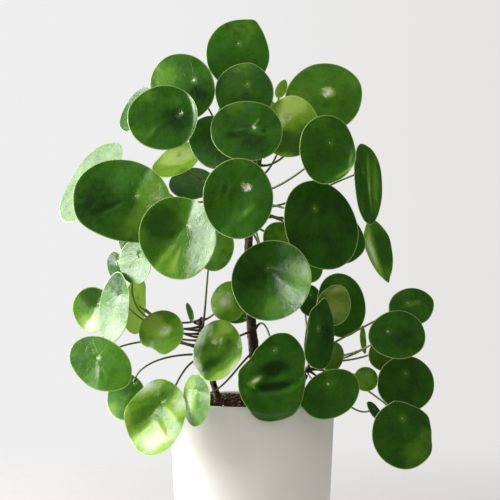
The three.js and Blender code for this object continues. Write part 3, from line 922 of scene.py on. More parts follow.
def blade_axes(leaf):
    """Across, up along the blade, and out of its upper side."""
    (ahead, aside), (level, rise) = map(heading, leaf["face"])
    normal = np.array([aside * level, -ahead * level, rise])
    across = np.array([ahead, aside, 0])
    return across, np.cross(normal, across), normal


def outline(name, leaf, turns, chance):
    """The margin's points in the blade's plane, from its middle."""
    width, length = leaf["half"]
    wide, long = width * np.cos(turns), length * np.sin(turns)
    leant = np.arctan2(long, wide) + math.radians(leaf["lean"])
    reach = np.hypot(wide, long)
    if "corner" in leaf:
        way, size = leaf["corner"]
        off = np.maximum(0, np.cos(leant - math.radians(way)))
        reach = reach * (1 + size * off ** CORNER_POWER)
    for way, size, width in MARGINS.get(name, []):
        off = (np.degrees(leant) - way + 180) % 360 - 180
        reach = reach * (1 + size * hill(off, width))
    for waves, size in WAVERS:
        reach = reach * (1 + size * np.sin(waves * leant + chance.uniform(0, FULL_TURN)))
    return reach * np.cos(leant), reach * np.sin(leant)


print(len(MARGINS), "blades have corners")

# %% [markdown]
# ## The height of a blade
#
# What makes a blade look alive is how it leaves the plane: it is cupped, it dips to a small funnel
# where the petiole meets it from below, its margin waves a little, and some blades fold along a
# line. Sculpting would do for one leaf. With this many, each way of bending is a function, and the
# blade's height is their sum. The window's image on a blade depends on these small slopes.

# %% Cups, curls and waves
CUP_SHARE = 0.5  # the solid model exaggerates the cup
CUP_LEVEL = 0.4  # share of the radius, squared, at which a cupped blade crosses its plane
WAVES = ((2, 1, 2), (3, 0.8, 2), (5, 0.4, 3), (9, 0.16, 4))  # how many, height, and power
WAVE_HEIGHT = 0.016  # as a share of the radius


def mean_radius(leaf):
    return sum(leaf["half"]) / 2


def cupping(leaf, x, y):
    """Height of the cupped and curled blade."""
    radius = mean_radius(leaf)
    height = CUP_SHARE * leaf["cup"] * ((x ** 2 + y ** 2) / radius ** 2 - CUP_LEVEL)
    if "curl" in leaf:
        way, size = leaf["curl"]
        across, up = heading(way)
        reach = np.maximum(0, (x * across + y * up) / radius)
        height = height - size * reach ** 2
    return height


def waving(leaf, x, y, share, chance):
    """Slow waves that grow towards the margin."""
    turns = np.arctan2(y, x)
    height = 0 * x
    for waves, size, power in WAVES:
        phase = chance.uniform(0, FULL_TURN)
        height = height + size * share ** power * np.sin(waves * turns + phase)
    return height * WAVE_HEIGHT * mean_radius(leaf)


print("30 mm out, the lowest front leaf's cup is", round(cupping(LEAVES["front_low"], 30, 0), 2),
      "mm deep")

# %% Cones
# A blade bends most easily along lines through its funnel, as a cone does: [direction, slope]
# pairs, where a slope above 0 comes forward on the way to the margin.
CONES = {
    "front_middle": [(0, 0.16), (50, 0), (120, 0.1), (185, 0.26), (235, 0), (300, 0.22)],
    "front_low": [(-100, 0.1), (-45, 0.56), (0, 0.56), (40, 0.5), (100, 0.02), (190, 0.18)],
    "front_left": [(-66, 0.06), (-22, 0.3), (28, 0.37), (54, 0.26), (78, 0.02), (150, 0.08),
                   (205, 0.16), (226, -0.1), (270, -0.04)],
    "crown_mid": [(0, -0.02), (70, 0.04), (140, 0), (200, 0.1), (290, 0.1)],
    "crown_right_front": [(0, 0), (90, 0), (180, 0.12), (270, 0), (320, 0.16)],
    "side_left_large": [(-75, -0.04), (-42, -0.1), (-16, -0.02), (10, 0.09), (46, 0.14), (70, 0),
                        (150, 0.12), (222, 0.22)],
    "crown_right_low": [(0, 0.04), (90, 0.05), (180, 0.05), (262, -0.04), (278, 0.08)],
    "crown_left_front": [(0, 0.02), (60, 0.1), (120, 0.2), (180, 0.4), (240, 0.34), (300, 0.12)],
    "crown_bright": [(0, 0.1), (80, -0.1), (140, -0.5), (185, -0.85), (228, 0), (300, 0.14)],
    "shoot_left_front": [(0, 0.12), (60, 0.14), (100, 0.22), (150, -0.12), (182, 0.08), (204, 0.25),
                         (224, -0.2), (318, 0.5), (345, 0.18)],
    "shoot_mid_front": [(0, 0.1), (60, 0.06), (100, 0), (172, -0.42), (200, -0.1), (240, 0.12),
                        (290, 0.12)],
    "shoot_left_low": [(0, -0.14), (90, 0), (140, 0.04), (185, 0.14), (240, 0.06), (300, 0)],
    "shoot_left_bright": [(0, 0.16), (60, -0.05), (130, -0.16), (190, -0.04), (250, 0.1), (300, 0.2)],
    "shoot_mid_upper": [(0, 0.1), (60, 0.05), (120, -0.45), (170, -0.8), (215, -0.5), (255, 0)],
    "shoot_left_far": [(0, 0.14), (60, 0.2), (120, 0.26), (200, -0.05), (250, -0.2), (320, 0.34)],
    "right_far_bottom": [(0, -0.08), (90, 0.05), (180, 0.02), (250, 0.1), (315, 0.02)],
}

# The simpler ones: the slopes to the right, up, left and down.
QUARTERS = {
    "crown_inner": (-0.5, 0, 0.5, 0), "crown_upper": (0, -0.06, 0.08, 0.1),
    "crown_left_high": (-0.14, 0.04, 0.07, 0.05), "crown_left_back": (-0.1, 0.05, 0.1, 0.18),
    "crown_right_high": (0.14, -0.02, -0.24, 0.02), "crown_top": (0.04, -0.06, 0.06, 0.04),
    "crown_glow": (0.3, 0, -0.35, 0.1), "side_left_pale": (0.1, 0, 0, 0.1),
    "side_right_edge": (0.1, 0, 0.08, 0.05), "side_right_fold": (0.3, 0.05, -0.2, 0.05),
    "low_inner_right": (0.1, -0.1, -0.1, 0.15), "low_inner_left": (-0.35, 0, 0.3, -0.05),
    "shoot_left_sheen": (0.05, 0, 0.05, 0), "shoot_left_slim": (-0.05, 0.1, 0.12, 0),
    "shoot_left_strip": (-0.28, 0, 0.05, 0), "shoot_left_under": (0.12, -0.1, -0.15, 0.3),
    "shoot_left_curl": (0.1, 0, -0.3, 0.25), "front_rim": (-0.04, 0.04, 0.06, 0),
    "right_inner_front": (-0.2, -0.05, -0.15, 0.05), "right_far_mid": (-0.05, 0.06, 0.02, 0.1),
    "right_far_top": (0.05, -0.14, 0, 0.12), "right_rim": (0.05, 0, -0.05, 0.12),
    "right_upper_back": (-0.1, -0.2, 0.05, 0.05), "right_brown": (0.2, -0.25, -0.2, 0.05),
    "shoot_left_tuck": (-0.05, 0.38, 0.05, -0.38),
}
CONES.update({name: list(zip((0, 90, 180, 270), slopes)) for name, slopes in QUARTERS.items()})
LOOSE_CONE = (10, 75, 130, 185, 250, 310)  # directions in which any other blade bends at random
LOOSE_SLOPE = 0.05
CREASE = 9  # degrees over which one slope turns into the next
WINDOW = 24  # degrees to each side that count towards a slope
CONE_TIP = 3  # millimetres over which the cone's point is rounded


def coning(name, x, y, chance):
    """Height of a blade whose rays from the funnel rise and fall."""
    loose = [(way, chance.normal(0, LOOSE_SLOPE)) for way in LOOSE_CONE]
    ways, slopes = np.array(sorted((way % 360, slope) for way, slope in CONES.get(name, loose))).T
    around = np.arange(-360, 720)
    bends = np.interp(around % 360, ways, slopes, period=360)
    window = hill(np.arange(-WINDOW, WINDOW + 1), CREASE)
    bends = np.convolve(bends, window / window.sum(), "same")
    turns = np.degrees(np.arctan2(y, x)) % 360
    return np.interp(turns, around, bends) * (np.sqrt(x ** 2 + y ** 2 + CONE_TIP ** 2) - CONE_TIP)


print(len(CONES), "blades have slopes of their own")

# %% Folds and ridges
# Lines along which a blade folds: [direction, start, lift, width, bow], from the blade's middle.
# What lies more than start millimetres in that direction comes forward by lift for each millimetre
# beyond it, or goes back if lift is negative; the bend is about width millimetres wide. A bow above
# 0 bends the line's ends back towards the middle.
FOLDS = {
    "crown_left_front": [(12, 26, 1.1, 1.2, 0.01)],
    "crown_right_front": [(-38, 20, 0.8, 1.2, 0), (-62, 25, 0.7, 1, 0)],
    "crown_bright": [(75, 25, 0.7, 1.2, 0.01)],
    "front_rim": [(-82, 13, 2.4, 0.7, 0.012), (-82, 16, -2.5, 0.7, 0.012)],
    "right_inner_front": [(172, 19, 0.5, 1, 0)],
    "shoot_left_front": [(125, 24, -0.5, 2.5, 0.012), (-85, 26, 0.4, 2, 0)],
    "side_left_large": [(218, 38, 0.6, 1.4, 0), (-20, 4, -0.34, 4, 0)],
    "right_far_bottom": [(4, 23, -0.5, 1.6, 0)],
    "right_far_mid": [(110, 17, 0.4, 1.2, 0.01)],
    "right_brown": [(70, 13, 0.9, 0.8, 0.01)],
    "shoot_mid_front": [(165, 12.5, -0.7, 1.2, 0.012), (-38, 14, 0.9, 2, 0.012)],
    "front_left": [(140, 16, 0.22, 3, 0)],
}

# Short ridges: [direction, distance, turn, length, width, height], from the blade's middle.
RIDGES = {
    "front_rim": [(212, 21, 35, 6, 2, 2.6), (222, 26, -15, 4, 2, 2)],
    "front_middle": [(150, 9, 60, 8, 2.2, 1), (165, 15, 75, 9, 2.2, 0.9), (200, 8, 95, 7, 2, 0.8),
                     (-60, 16, 40, 7, 2.2, 0.8)],
    "crown_mid": [(40, 12, 50, 5, 2, 0.7), (-20, 12, -20, 5, 2, 0.6), (190, 8, 10, 6, 2.5, 0.7)],
    "crown_right_high": [(40, 7, 100, 5, 3, 1.2)],
    "crown_bright": [(140, 9, 80, 7, 3, 2.2), (60, 8, 70, 6, 3, 1.2)],
    "shoot_left_low": [(-45, 10, -40, 6, 2.2, 0.6), (-80, 9, -75, 6, 2.2, 0.5)],
    "shoot_mid_front": [(80, 9, 75, 5, 2, -1.2), (112, 13, 60, 5, 2, 1.1)],
    "shoot_left_front": [(205, 17, 30, 9, 2.4, 1.8), (300, 12, -55, 9, 2.4, 1.8)],
    "right_far_mid": [(120, 12, 10, 6, 2.2, 0.9)],
    "right_rim": [(60, 12, 60, 6, 2.4, 0.9)],
    "right_far_bottom": [(10, 20, 80, 9, 2.4, 1)],
    "front_left": [(225, 17, 40, 12, 2.2, 1.1)],
    "side_left_large": [(215, 15, 30, 12, 2.2, -1.1)],
    "crown_left_front": [(250, 14, 60, 9, 3, 0.9)],
}
FAR_OFF = 30  # widths from a fold beyond which nothing bends any more


def folding(name, x, y):
    """Height of a blade that bends along its folds."""
    height = 0 * x
    for way, start, size, width, bow in FOLDS.get(name, []):
        across, up = heading(way)
        beyond = x * across + y * up - start + bow * (y * across - x * up) ** 2
        bend = np.log1p(np.exp(np.clip(beyond / width, -FAR_OFF, FAR_OFF)))
        height = height + size * bend * width
    return height


def turned_from(x, y, way, distance, turn):
    """Places along and beside a line in the blade, from a spot given by direction and distance."""
    (spot_x, spot_y), (across, up) = heading(way), heading(turn)
    off_x, off_y = x - distance * spot_x, y - distance * spot_y
    return off_x * across + off_y * up, off_y * across - off_x * up


def ridging(name, x, y):
    """Height of the ridges."""
    height = 0 * x
    for way, distance, turn, length, width, size in RIDGES.get(name, []):
        along, beside = turned_from(x, y, way, distance, turn)
        height = height + size * hill(along, length, beside, width)
    return height


print(len(FOLDS), "blades fold and", len(RIDGES), "have ridges")

# %% [markdown]
# ## Painted light and shade, and paler or darker tissue
#
# No blade is one green. New tissue is paler, and a pale star spreads from the petiole's point on
# old leaves. Most of the patches here are painted light and shade, though: painted sheens and
# highlights where a blade turns to the window, painted shade in troughs, creases and bands and on
# parts turned away, and whole blades painted darker or paler. Painting each leaf would mean an
# image for each. Instead a few soft patches are worked out at the points of the mesh and carried
# to the material in a chart.

# %% Shades
# Patches painted paler or darker: [direction, distance, size, amount] from the blade's middle,
# where an amount of 1 is young yellow-green, more than 1 a whitish painted sheen, and -1 the
# deepest green. Most are painted light and shade: sheens, highlights and lit strips, and painted
# shade in troughs, creases, bands and on halves turned away; some are paler or darker tissue.
# A streak has two more numbers: its turn, and its width as a share of its size.
PAINTED_LIGHT_AND_TISSUE = {
    "crown_top": [(80, 26, 18, 0.5), (250, 14, 16, -0.3)],
    "crown_upper": [(95, 26, 13, 0.5), (270, 6, 15, -0.6)],
    "crown_mid": [(110, 28, 11, 0.5), (180, 29, 8, 0.5), (300, 12, 14, -0.7), (190, 14, 9, -0.5),
                  (45, 12, 6, 0.7, 60, 0.3), (-20, 12, 6, 0.6, -30, 0.3), (10, 16, 5, -0.5, 80, 0.4)],
    "crown_left_high": [(150, 20, 16, 0.9), (270, 26, 12, 0.4), (340, 16, 14, -0.9)],
    "crown_left_front": [(350, 10, 14, -1.1), (130, 26, 9, 0.6), (220, 26, 10, 0.4),
                         (248, 14, 10, 0.5, 60, 0.25), (300, 16, 9, 0.5, 100, 0.25)],
    "crown_left_back": [(90, 20, 14, 0.3)],
    "crown_right_high": [(180, 24, 16, 0.55), (0, 24, 16, -0.5), (270, 28, 12, 0.4), (40, 6, 5, 2.8),
                         (-90, 8, 9, -0.5)],
    "crown_bright": [(80, 24, 14, 1.3), (150, 10, 9, 2.6, 70, 0.6), (225, 16, 11, -2.2),
                     (-20, 18, 16, -0.9), (150, 22, 8, 1.4, 80, 0.5), (-75, 22, 8, -1.2)],
    "crown_right_front": [(-40, 28, 8, 1, 50, 0.4), (100, 28, 12, 0.4), (180, 10, 12, -0.3),
                          (-62, 26, 9, 1.2, 30, 0.16), (-30, 22, 9, 0.9, 75, 0.16)],
    "crown_glow": [(60, 8, 12, 1.5), (150, 12, 12, 0.9), (300, 22, 10, -0.6)],
    "crown_inner": [(0, 0, 30, -0.5)],
    "crown_shade": [(0, 0, 30, 0.2)],
    "side_right_edge": [(0, 8, 22, 1.5, 88, 0.14), (180, 20, 12, -0.3), (0, 22, 24, 0.9, 88, 0.35)],
    "side_right_fold": [(180, 13, 22, 2.4, 85, 0.45), (0, 12, 18, -1.6)],
    "side_left_large": [(190, 22, 24, -0.9), (15, 32, 20, 1.25), (-30, 30, 16, 1.1), (-75, 26, 14, 0.5),
                        (208, 12, 16, -0.4, 28, 0.16)],
    "front_left": [(140, 20, 17, -1.4), (250, 24, 18, 0.55), (-10, 24, 14, 0.3),
                   (232, 14, 14, 0.9, 48, 0.14), (262, 16, 13, 0.7, 74, 0.14)],
    "front_low": [(170, 18, 20, -0.7), (270, 24, 14, 0.6), (0, 26, 18, 0.9)],
    "front_middle": [(150, 22, 14, -0.4), (300, 14, 12, 0.35), (90, 32, 8, 0.4),
                     (75, 13, 4, 1.2, 80, 0.6), (156, 6, 10, -0.4, 62, 0.22),
                     (158, 10, 10, 0.4, 66, 0.2), (162, 18, 9, 0.4, 78, 0.25),
                     (-50, 15, 8, 0.35, 35, 0.26)],
    "crown_right_low": [(0, 0, 50, -0.3)],
    "low_inner_right": [(90, 10, 26, 0.6)],
    "low_inner_left": [(0, 0, 30, 0.5)],
    "shoot_left_far": [(100, 12, 12, -1.4), (250, 13, 10, 1.7), (262, 13, 7, 1.2, 20, 0.35)],
    "shoot_left_slim": [(92, 24, 14, -1.7), (80, 36, 12, -0.8), (255, 16, 18, 0.4), (0, 24, 8, -0.5)],
    "shoot_left_low": [(160, 16, 16, -0.5), (20, 12, 10, 0.2), (-60, 10, 12, -0.3)],
    "shoot_left_under": [(80, 14, 16, -0.9), (230, 18, 12, 0.8)],
    "shoot_left_front": [(115, 32, 15, 2.6, 20, 0.6), (85, 22, 13, -0.85, 0, 0.5),
                         (165, 13, 14, -0.75, 50, 0.5), (30, 25, 12, 2.2), (266, 23, 17, 2.3),
                         (180, 30, 9, 1.4)],
    "shoot_left_bright": [(140, 12, 12, 1.2), (60, 12, 6, -0.2), (250, 12, 7, -0.2), (20, 3, 5, 2.6)],
    "shoot_left_sheen": [(0, 0, 20, -0.3), (180, 17, 5, 0.9), (270, 17, 5, 0.9)],
    "shoot_left_strip": [(180, 10, 16, 2, 80, 0.6), (0, 14, 10, -0.4)],
    "shoot_mid_front": [(145, 22, 9, 2.6, 60, 0.5), (250, 14, 12, -1.1, 40, 0.6), (72, 21, 8, 1.2),
                        (40, 12, 7, -0.8), (-40, 24, 10, 2.6, 50, 0.5), (-80, 27, 9, 1.4),
                        (95, 10, 5, 1.4)],
    "shoot_mid_upper": [(170, 2, 6, 2.6, 70, 0.8), (180, 14, 10, 1.2), (-60, 12, 8, 0.4),
                        (90, 12, 8, 0.6)],
    "front_rim": [(100, 6, 19, -1.2, 22, 0.4), (-82, 8.5, 17, -1.5, 10, 0.26), (-75, 32, 14, 0.35),
                  (-45, 3, 14, 0.35, 16, 0.22), (150, 22, 8, 0.5, 40, 0.4),
                  (190, 15, 7.5, 3.2, 32, 0.36), (214, 19, 4, 1.4, -30, 0.5)],
    "right_inner_front": [(0, 14, 14, -0.8), (172, 22, 16, 2, 78, 0.16)],
    "right_rim": [(100, 14, 14, 0.3)],
    "right_far_bottom": [(0, 22, 9, 0.6), (-60, 18, 16, 0.9), (200, 10, 18, -0.4)],
    "right_far_top": [(90, 2, 12, 0.8, 12, 0.3), (250, 10, 10, -0.3)],
    "right_small": [(0, 0, 20, 0.7)],
    "right_upper_back": [(80, 20, 16, 0.5)],
    "right_far_low": [(120, 18, 10, 0.25)],
    "right_far_mid": [(90, 18, 8, 0.25), (330, 8, 16, -0.5)],
    "shoot_left_curl": [(0, 0, 30, 1.4), (270, 16, 12, 0.5)],
    "right_brown": [(0, 0, 14, 0.9), (80, 15, 10, 1.2, 10, 0.25)],
}

# How far the pale star about the petiole's point reaches, where it is larger than usual. A widened
# star is partly a painted highlight beside the petiole's point.
USUAL_STAR = 0.9
PALE_STARS_AND_HIGHLIGHTS = {
    "crown_right_high": 6.2, "crown_bright": 5, "front_middle": 5.4, "shoot_mid_upper": 4,
    "shoot_mid_front": 3.4, "crown_mid": 2.6, "shoot_left_bright": 2.6, "shoot_left_low": 2,
    "crown_left_high": 2, "right_rim": 1.8, "shoot_left_front": 1.8, "right_far_mid": 1.6,
}


def painted_light_at(name, x, y):
    """Painted light (above 0) and painted shade on the blade, with paler or darker tissue."""
    amount = 0 * x
    for way, distance, size, much, *streak in PAINTED_LIGHT_AND_TISSUE.get(name, []):
        turn, narrow = streak or (0, 1)
        along, beside = turned_from(x, y, way, distance, turn)
        amount = amount + much * hill(along, size, beside, size * narrow)
    return amount


print(len(PAINTED_LIGHT_AND_TISSUE), "blades have patches and", len(PALE_STARS_AND_HIGHLIGHTS), "a wide star")

# %% [markdown]
# ## The blade's skin
#
# The blade is a round net of points spun about its funnel, and each point is lifted by the heights
# above. A real blade is about a millimetre thick with a rounded margin. A Solidify modifier could
# thicken a single sheet, but it would give a square edge, so the two sides are separate sheets that
# meet in a half circle.

# %% Blade
BLADE = {"sides": 80, "thick": 1.1, "thin": 0.7, "round_from": 0.965}
NET = [0.03, 0.05, 0.07, 0.095, 0.12, 0.15, 0.18, 0.215, 0.25, 0.29, 0.33, 0.375, 0.42, 0.465,
       0.51, 0.555, 0.60, 0.645, 0.69, 0.73, 0.77, 0.805, 0.84, 0.87, 0.90, 0.92, 0.94, 0.965,
       0.985, 0.996, 1.0]
UNDER_FROM = 1  # the ring of the net where the petiole's skin joins the underside
CENTIMETRE = 10  # the charts count in centimetres

# How deep the funnel over the petiole is, and how wide, where it isn't the usual one.
USUAL_FUNNEL = (0.9, 2.4)
UNDER_FUNNEL = 0.4  # share of the funnel that shows on the underside
FUNNELS = {
    "crown_glow": (0.4, 2.4), "shoot_mid_front": (1.5, 3.4), "crown_mid": (1.4, 3.2),
    "front_low": (1.5, 3.0), "shoot_left_bright": (1.5, 3.6), "crown_bright": (1.5, 3.4),
    "right_rim": (1.4, 3.2), "crown_left_front": (1.3, 2.8), "side_left_large": (1.3, 3.0),
    "right_far_mid": (1.2, 2.8),
}


class Net:
    """A blade's points in its plane: how far out they are, and where they lie."""

    def __init__(self, name, leaf, chance):
        rim_x, rim_y = outline(name, leaf, turn_points(BLADE["sides"]), chance)
        dot_x, dot_y = leaf["dot"]
        self.share = np.array([0.0] + NET)[:, None]
        self.x = dot_x + (rim_x - dot_x) * self.share
        self.y = dot_y + (rim_y - dot_y) * self.share
        self.from_dot = self.x - dot_x, self.y - dot_y
        self.away = np.hypot(*self.from_dot)
        self.to_margin = np.hypot(rim_x - dot_x, rim_y - dot_y) * (1 - self.share)

    def lifted(self, leaf, height):
        """The points on the plant, at a height above the blade's plane."""
        across, up, normal = blade_axes(leaf)
        flat = np.multiply.outer(self.x, across) + np.multiply.outer(self.y, up)
        return np.array(leaf["at"]) + flat + np.multiply.outer(height, normal)


def sheet(name, leaf, net, chance):
    """Height of the middle of the blade's flesh, about a mean of 0."""
    bent = folding(name, net.x, net.y) + ridging(name, net.x, net.y)
    bent = bent + waving(leaf, net.x, net.y, net.share, chance)
    bent = bent + coning(name, *net.from_dot, chance)
    mean = np.average(bent, weights=net.share + 0 * net.x)
    return cupping(leaf, net.x, net.y) + bent - mean


def half_thickness(share):
    """Half the blade's thickness, rounded off at the margin."""
    thick = BLADE["thick"] + (BLADE["thin"] - BLADE["thick"]) * share
    rounding = np.clip((share - BLADE["round_from"]) / (1 - BLADE["round_from"]), 0, 1)
    return thick / 2 * np.sqrt(1 - rounding ** 2)


def tissue(name, net):
    """The three charts of a blade's points."""
    x, y = net.from_dot
    star = hill(net.away, PALE_STARS_AND_HIGHLIGHTS.get(name, USUAL_STAR))
    return np.stack([x / CENTIMETRE, y / CENTIMETRE, net.to_margin / CENTIMETRE,
                     net.share + 0 * x, painted_light_at(name, net.x, net.y), star], -1)


def blade(shape, name, leaf, seed, finishes):
    """Puts a blade into the shape; returns the underside's inner ring and the funnel's height."""
    chance = np.random.default_rng(seed)
    net = Net(name, leaf, chance)
    middle = sheet(name, leaf, net, chance)
    depth, width = FUNNELS.get(name, USUAL_FUNNEL)
    funnel = depth * hill(net.away, width)
    thick = half_thickness(net.share)
    chart = tissue(name, net)
    top = net.lifted(leaf, middle + thick - funnel)
    under = net.lifted(leaf, middle - thick - UNDER_FUNNEL * funnel)
    tip = shape.put(top[0, 0], chart[0, 0])
    upper = [shape.put(*row) for row in zip(top[1:], chart[1:])]
    inner = slice(1 + UNDER_FROM, len(NET))
    lower = [shape.put(*row) for row in zip(under[inner], chart[inner])]
    sides = BLADE["sides"]
    shape.fan(upper[0], tip, sides, finishes[0])
    shape.tube(upper, sides, finishes[0])
    shape.band(upper[-1], lower[-1], sides, finishes[0])
    shape.tube(lower, sides, finishes[1], flip=True)
    return lower[0], middle[0, 0]


print("a blade has", BLADE["sides"] * len(NET) * 2, "points")

# %% [markdown]
# ## The petiole
#
# The petiole is the thin stalk that carries the blade. It leaves the stem a little swollen, arches
# and meets the blade from behind, nearly at right angles. A curve object with a bevel would give
# such a tube, but not its joint with the blade. Here the tube's last ring opens straight into the
# blade's underside, so that a leaf is one skin.

# %% Petiole's curve
ARCH = {"out": 0.3, "behind": 0.28, "below": 0.06}  # shares of the way from the stem to the blade
PETIOLE = {"sides": 16, "root": 1.02, "tip": 0.74, "step": 3.2, "rings": (10, 44), "end": 1.7,
           "sink": 1.4, "cap": 0.3}
SWELLING = (0.5, 2.2)  # how much thicker at the stem, and how far that reaches
FLARE = (0.5, 2)  # and at the blade
SEAT = 0.35  # from the stem's skin to the root of a petiole in the solid model


def petiole_curve(leaf, lift):
    """The four points that steer the petiole, as in the solid model."""
    stem, height = leaf["root"]
    axis, along, radius = stem_at(stem, height)
    across, up, normal = blade_axes(leaf)
    x, y = leaf["dot"]
    end = np.array(leaf["at"]) + x * across + y * up + lift * normal
    via = [np.array(point, float) for point in leaf.get("via", [])]
    outward = (via[0] if via else end) - axis
    outward[2] = 0
    outward = square_to(outward, along)
    length = np.linalg.norm(end - axis)
    first = via[0] if via else axis + outward * ARCH["out"] * length
    slant = math.sqrt(1 - min(1, np.dot(unit(first - axis), outward) ** 2))
    start = axis + outward * (radius + SEAT + PETIOLE["root"] * slant)
    behind = end - normal * length * ARCH["behind"]
    behind[2] -= length * ARCH["below"]
    return start, first, via[1] if len(via) > 1 else behind, end


def bezier(points, share):
    a, b, c, d = points
    share = np.asarray(share)[..., None]
    rest = 1 - share
    return a * rest ** 3 + 3 * b * rest ** 2 * share + 3 * c * rest * share ** 2 + d * share ** 3


print("a petiole is", 2 * PETIOLE["root"], "mm thick at the stem")

# %% Petiole's skin
FINE_STEPS = 300  # points from which the length of a petiole is measured
FAR_FROM_MARGIN = 9  # what a petiole and a stem carry in the chart of the way to the margin


def petiole(shape, leaf, ring, lift, finish):
    """Puts a petiole into the shape and joins it to the blade's underside."""
    fine = bezier(petiole_curve(leaf, lift), np.linspace(0, 1, FINE_STEPS))
    run = run_along(fine)
    length = run[-1]
    end = length - PETIOLE["end"]
    stops = np.linspace(-PETIOLE["sink"], end,
                        int(np.clip(length / PETIOLE["step"], *PETIOLE["rings"])))
    start_way = unit(fine[1] - fine[0])
    line = points_at(fine, run, stops)
    line[0] = fine[0] - start_way * PETIOLE["sink"]
    sides = PETIOLE["sides"]
    ways = np.gradient(line, axis=0)
    from_blade = hoops(line[::-1], ways[::-1], blade_axes(leaf)[0], turn_points(sides))
    rings = []
    for stop, (spot, circle) in zip(stops[::-1], from_blade):
        share = max(0, stop) / length
        radius = PETIOLE["root"] + (PETIOLE["tip"] - PETIOLE["root"]) * share
        radius += SWELLING[0] * hill(max(0, stop), SWELLING[1])
        radius += FLARE[0] * hill(end - stop, FLARE[1])
        chart = np.tile([0, 0, FAR_FROM_MARGIN, share], (sides, 1))
        rings.append(shape.put(spot + circle * radius, chart))
    shape.widen(rings[0], sides, ring, BLADE["sides"], finish)
    shape.tube(rings, sides, finish, flip=True)
    root = shape.put(line[0] - start_way * PETIOLE["cap"], [0, 0, FAR_FROM_MARGIN, 0])
    shape.fan(rings[-1], root, sides, finish, flip=True)


print("petioles are ready")

# %% [markdown]
# ## The upper side of a leaf
#
# The upper side is a deep green with a slightly waxed satin gloss over patches of darker and lighter
# tissue, with a pale point where the petiole arrives, thin veins that run out from it, and a pale
# thin margin. Over these greens lie painted light and shade: lit patches, painted shade, and a
# painted whitish sheen where the blade's shape alone doesn't mirror the window. Light that falls
# on the back of a blade shines through it as yellow-green, so the surface is mixed with a
# translucent one. A photograph of a leaf as a texture would be quicker, but it would carry its own
# light along, and every leaf would be the same.

# %% Veins
# How many there are, how crooked, and ramps [start, end] across a vein and along it.
VEINS = {"count": 9, "crook": ((45, 1), 1.6), "width": (0.05, 0.008), "reach": (3.4, 0.8)}
VEIN_NET = {"scale": 1.5, "width": (0.05, 0.0), "share": 0.35}  # the fine mesh between them


def veins(recipe, blade_chart, place):
    """Lines that run out from the petiole's point and branch: 1 on a vein, 0 between."""
    across, up, _ = recipe.parts(blade_chart)
    away = recipe.length(blade_chart)
    noise_row, amount = VEINS["crook"]
    warp = recipe.times(recipe.cloud(place, *noise_row), amount)
    turn = recipe.maths("ARCTAN2", up, across)
    spoke = recipe.maths("MULTIPLY_ADD", turn, VEINS["count"] / FULL_TURN, warp)
    off = recipe.maths("ABSOLUTE", recipe.maths("SUBTRACT", recipe.maths("FRACT", spoke), 0.5))
    off = recipe.times(recipe.times(off, away), FULL_TURN / VEINS["count"])
    main = recipe.times(recipe.ramp(off, *VEINS["width"]), recipe.ramp(away, *VEINS["reach"]))
    scale = VEIN_NET["scale"]
    bend = recipe.node("TexNoise", {"Vector": blade_chart, "Scale": scale}).outputs[1]
    bent = recipe.node("VectorMath", {0: blade_chart, 1: bend}, {"operation": "ADD"}).outputs[0]
    cells = recipe.node("TexVoronoi", {"Vector": bent, "Scale": scale},
                        {"feature": "DISTANCE_TO_EDGE"}).outputs[0]
    net = recipe.times(recipe.ramp(cells, *VEIN_NET["width"]), VEIN_NET["share"])
    return recipe.maths("MAXIMUM", main, net), away


print(VEINS["count"], "veins run out from the petiole's point")

# %% Upper side
VEIN_GREEN = (0.16, 0.32, 0.05, 1)
POINT_GREEN = (0.2, 0.42, 0.05, 1)
MARGIN_GREEN = (0.55, 0.72, 0.28, 1)
# Whitish colour painted where a blade should mirror the window: a painted sheen and highlight.
PAINTED_SHEEN_WHITE = (0.86, 0.93, 0.77, 1)  # whitish, a painted sheen
GRAIN = (620, 3, 0.6)  # noise of the finest grain in the tissue
# Noise [scale, detail, roughness], and the ramp that it goes through.
UNEVEN = {
    "patches": ((55, 4, 0.6), (0.34, 0.66)),
    "mottling": ((150, 3), (0.2, 0.8, -0.2, 0.2)),
    "painted_sheen": ((520, 3, 0.7), (0.3, 0.7, -0.3, 0.25)),
    "star": ((420, 2), (0.3, 0.7, -0.25, 0.2)),
    "gloss": ((90, 4), (0.3, 0.7, 0.24, 0.37)),
}
# Ramps [start, end, least, most]: how much of its colour each thing adds.
SHARES = {
    "grain": (0.3, 0.7, 0.0, 0.4), "young": (0.1, 1.0, 0.0, 0.9), "deep": (-0.1, -1.0, 0.0, 0.9),
    "painted_sheen": (1.0, 2.4, 0.0, 0.85), "point": (0.55, 0.1, 0.0, 0.3), "star": (0.45, 0.9, 0.0, 0.95),
    "by_margin": (0.16, 0.04, 0.0, 0.25), "margin": (0.08, 0.03, 0.0, 0.85),
}
VEIN_SHARE = 0.10
WAX = {"index": 1.45, "mirrors": 0.55}
SWELLS = (((85, 2), 0.0006), ((260, 2), 0.00016))  # noise and depth in metres
VEIN_DEPTH, GRAIN_DEPTH = 0.00006, 0.0001
VEIN_SHADOW = 0.3  # how dark the veins are against the light
GLOW_SHARE = 0.5  # how much young green is in the light that comes through


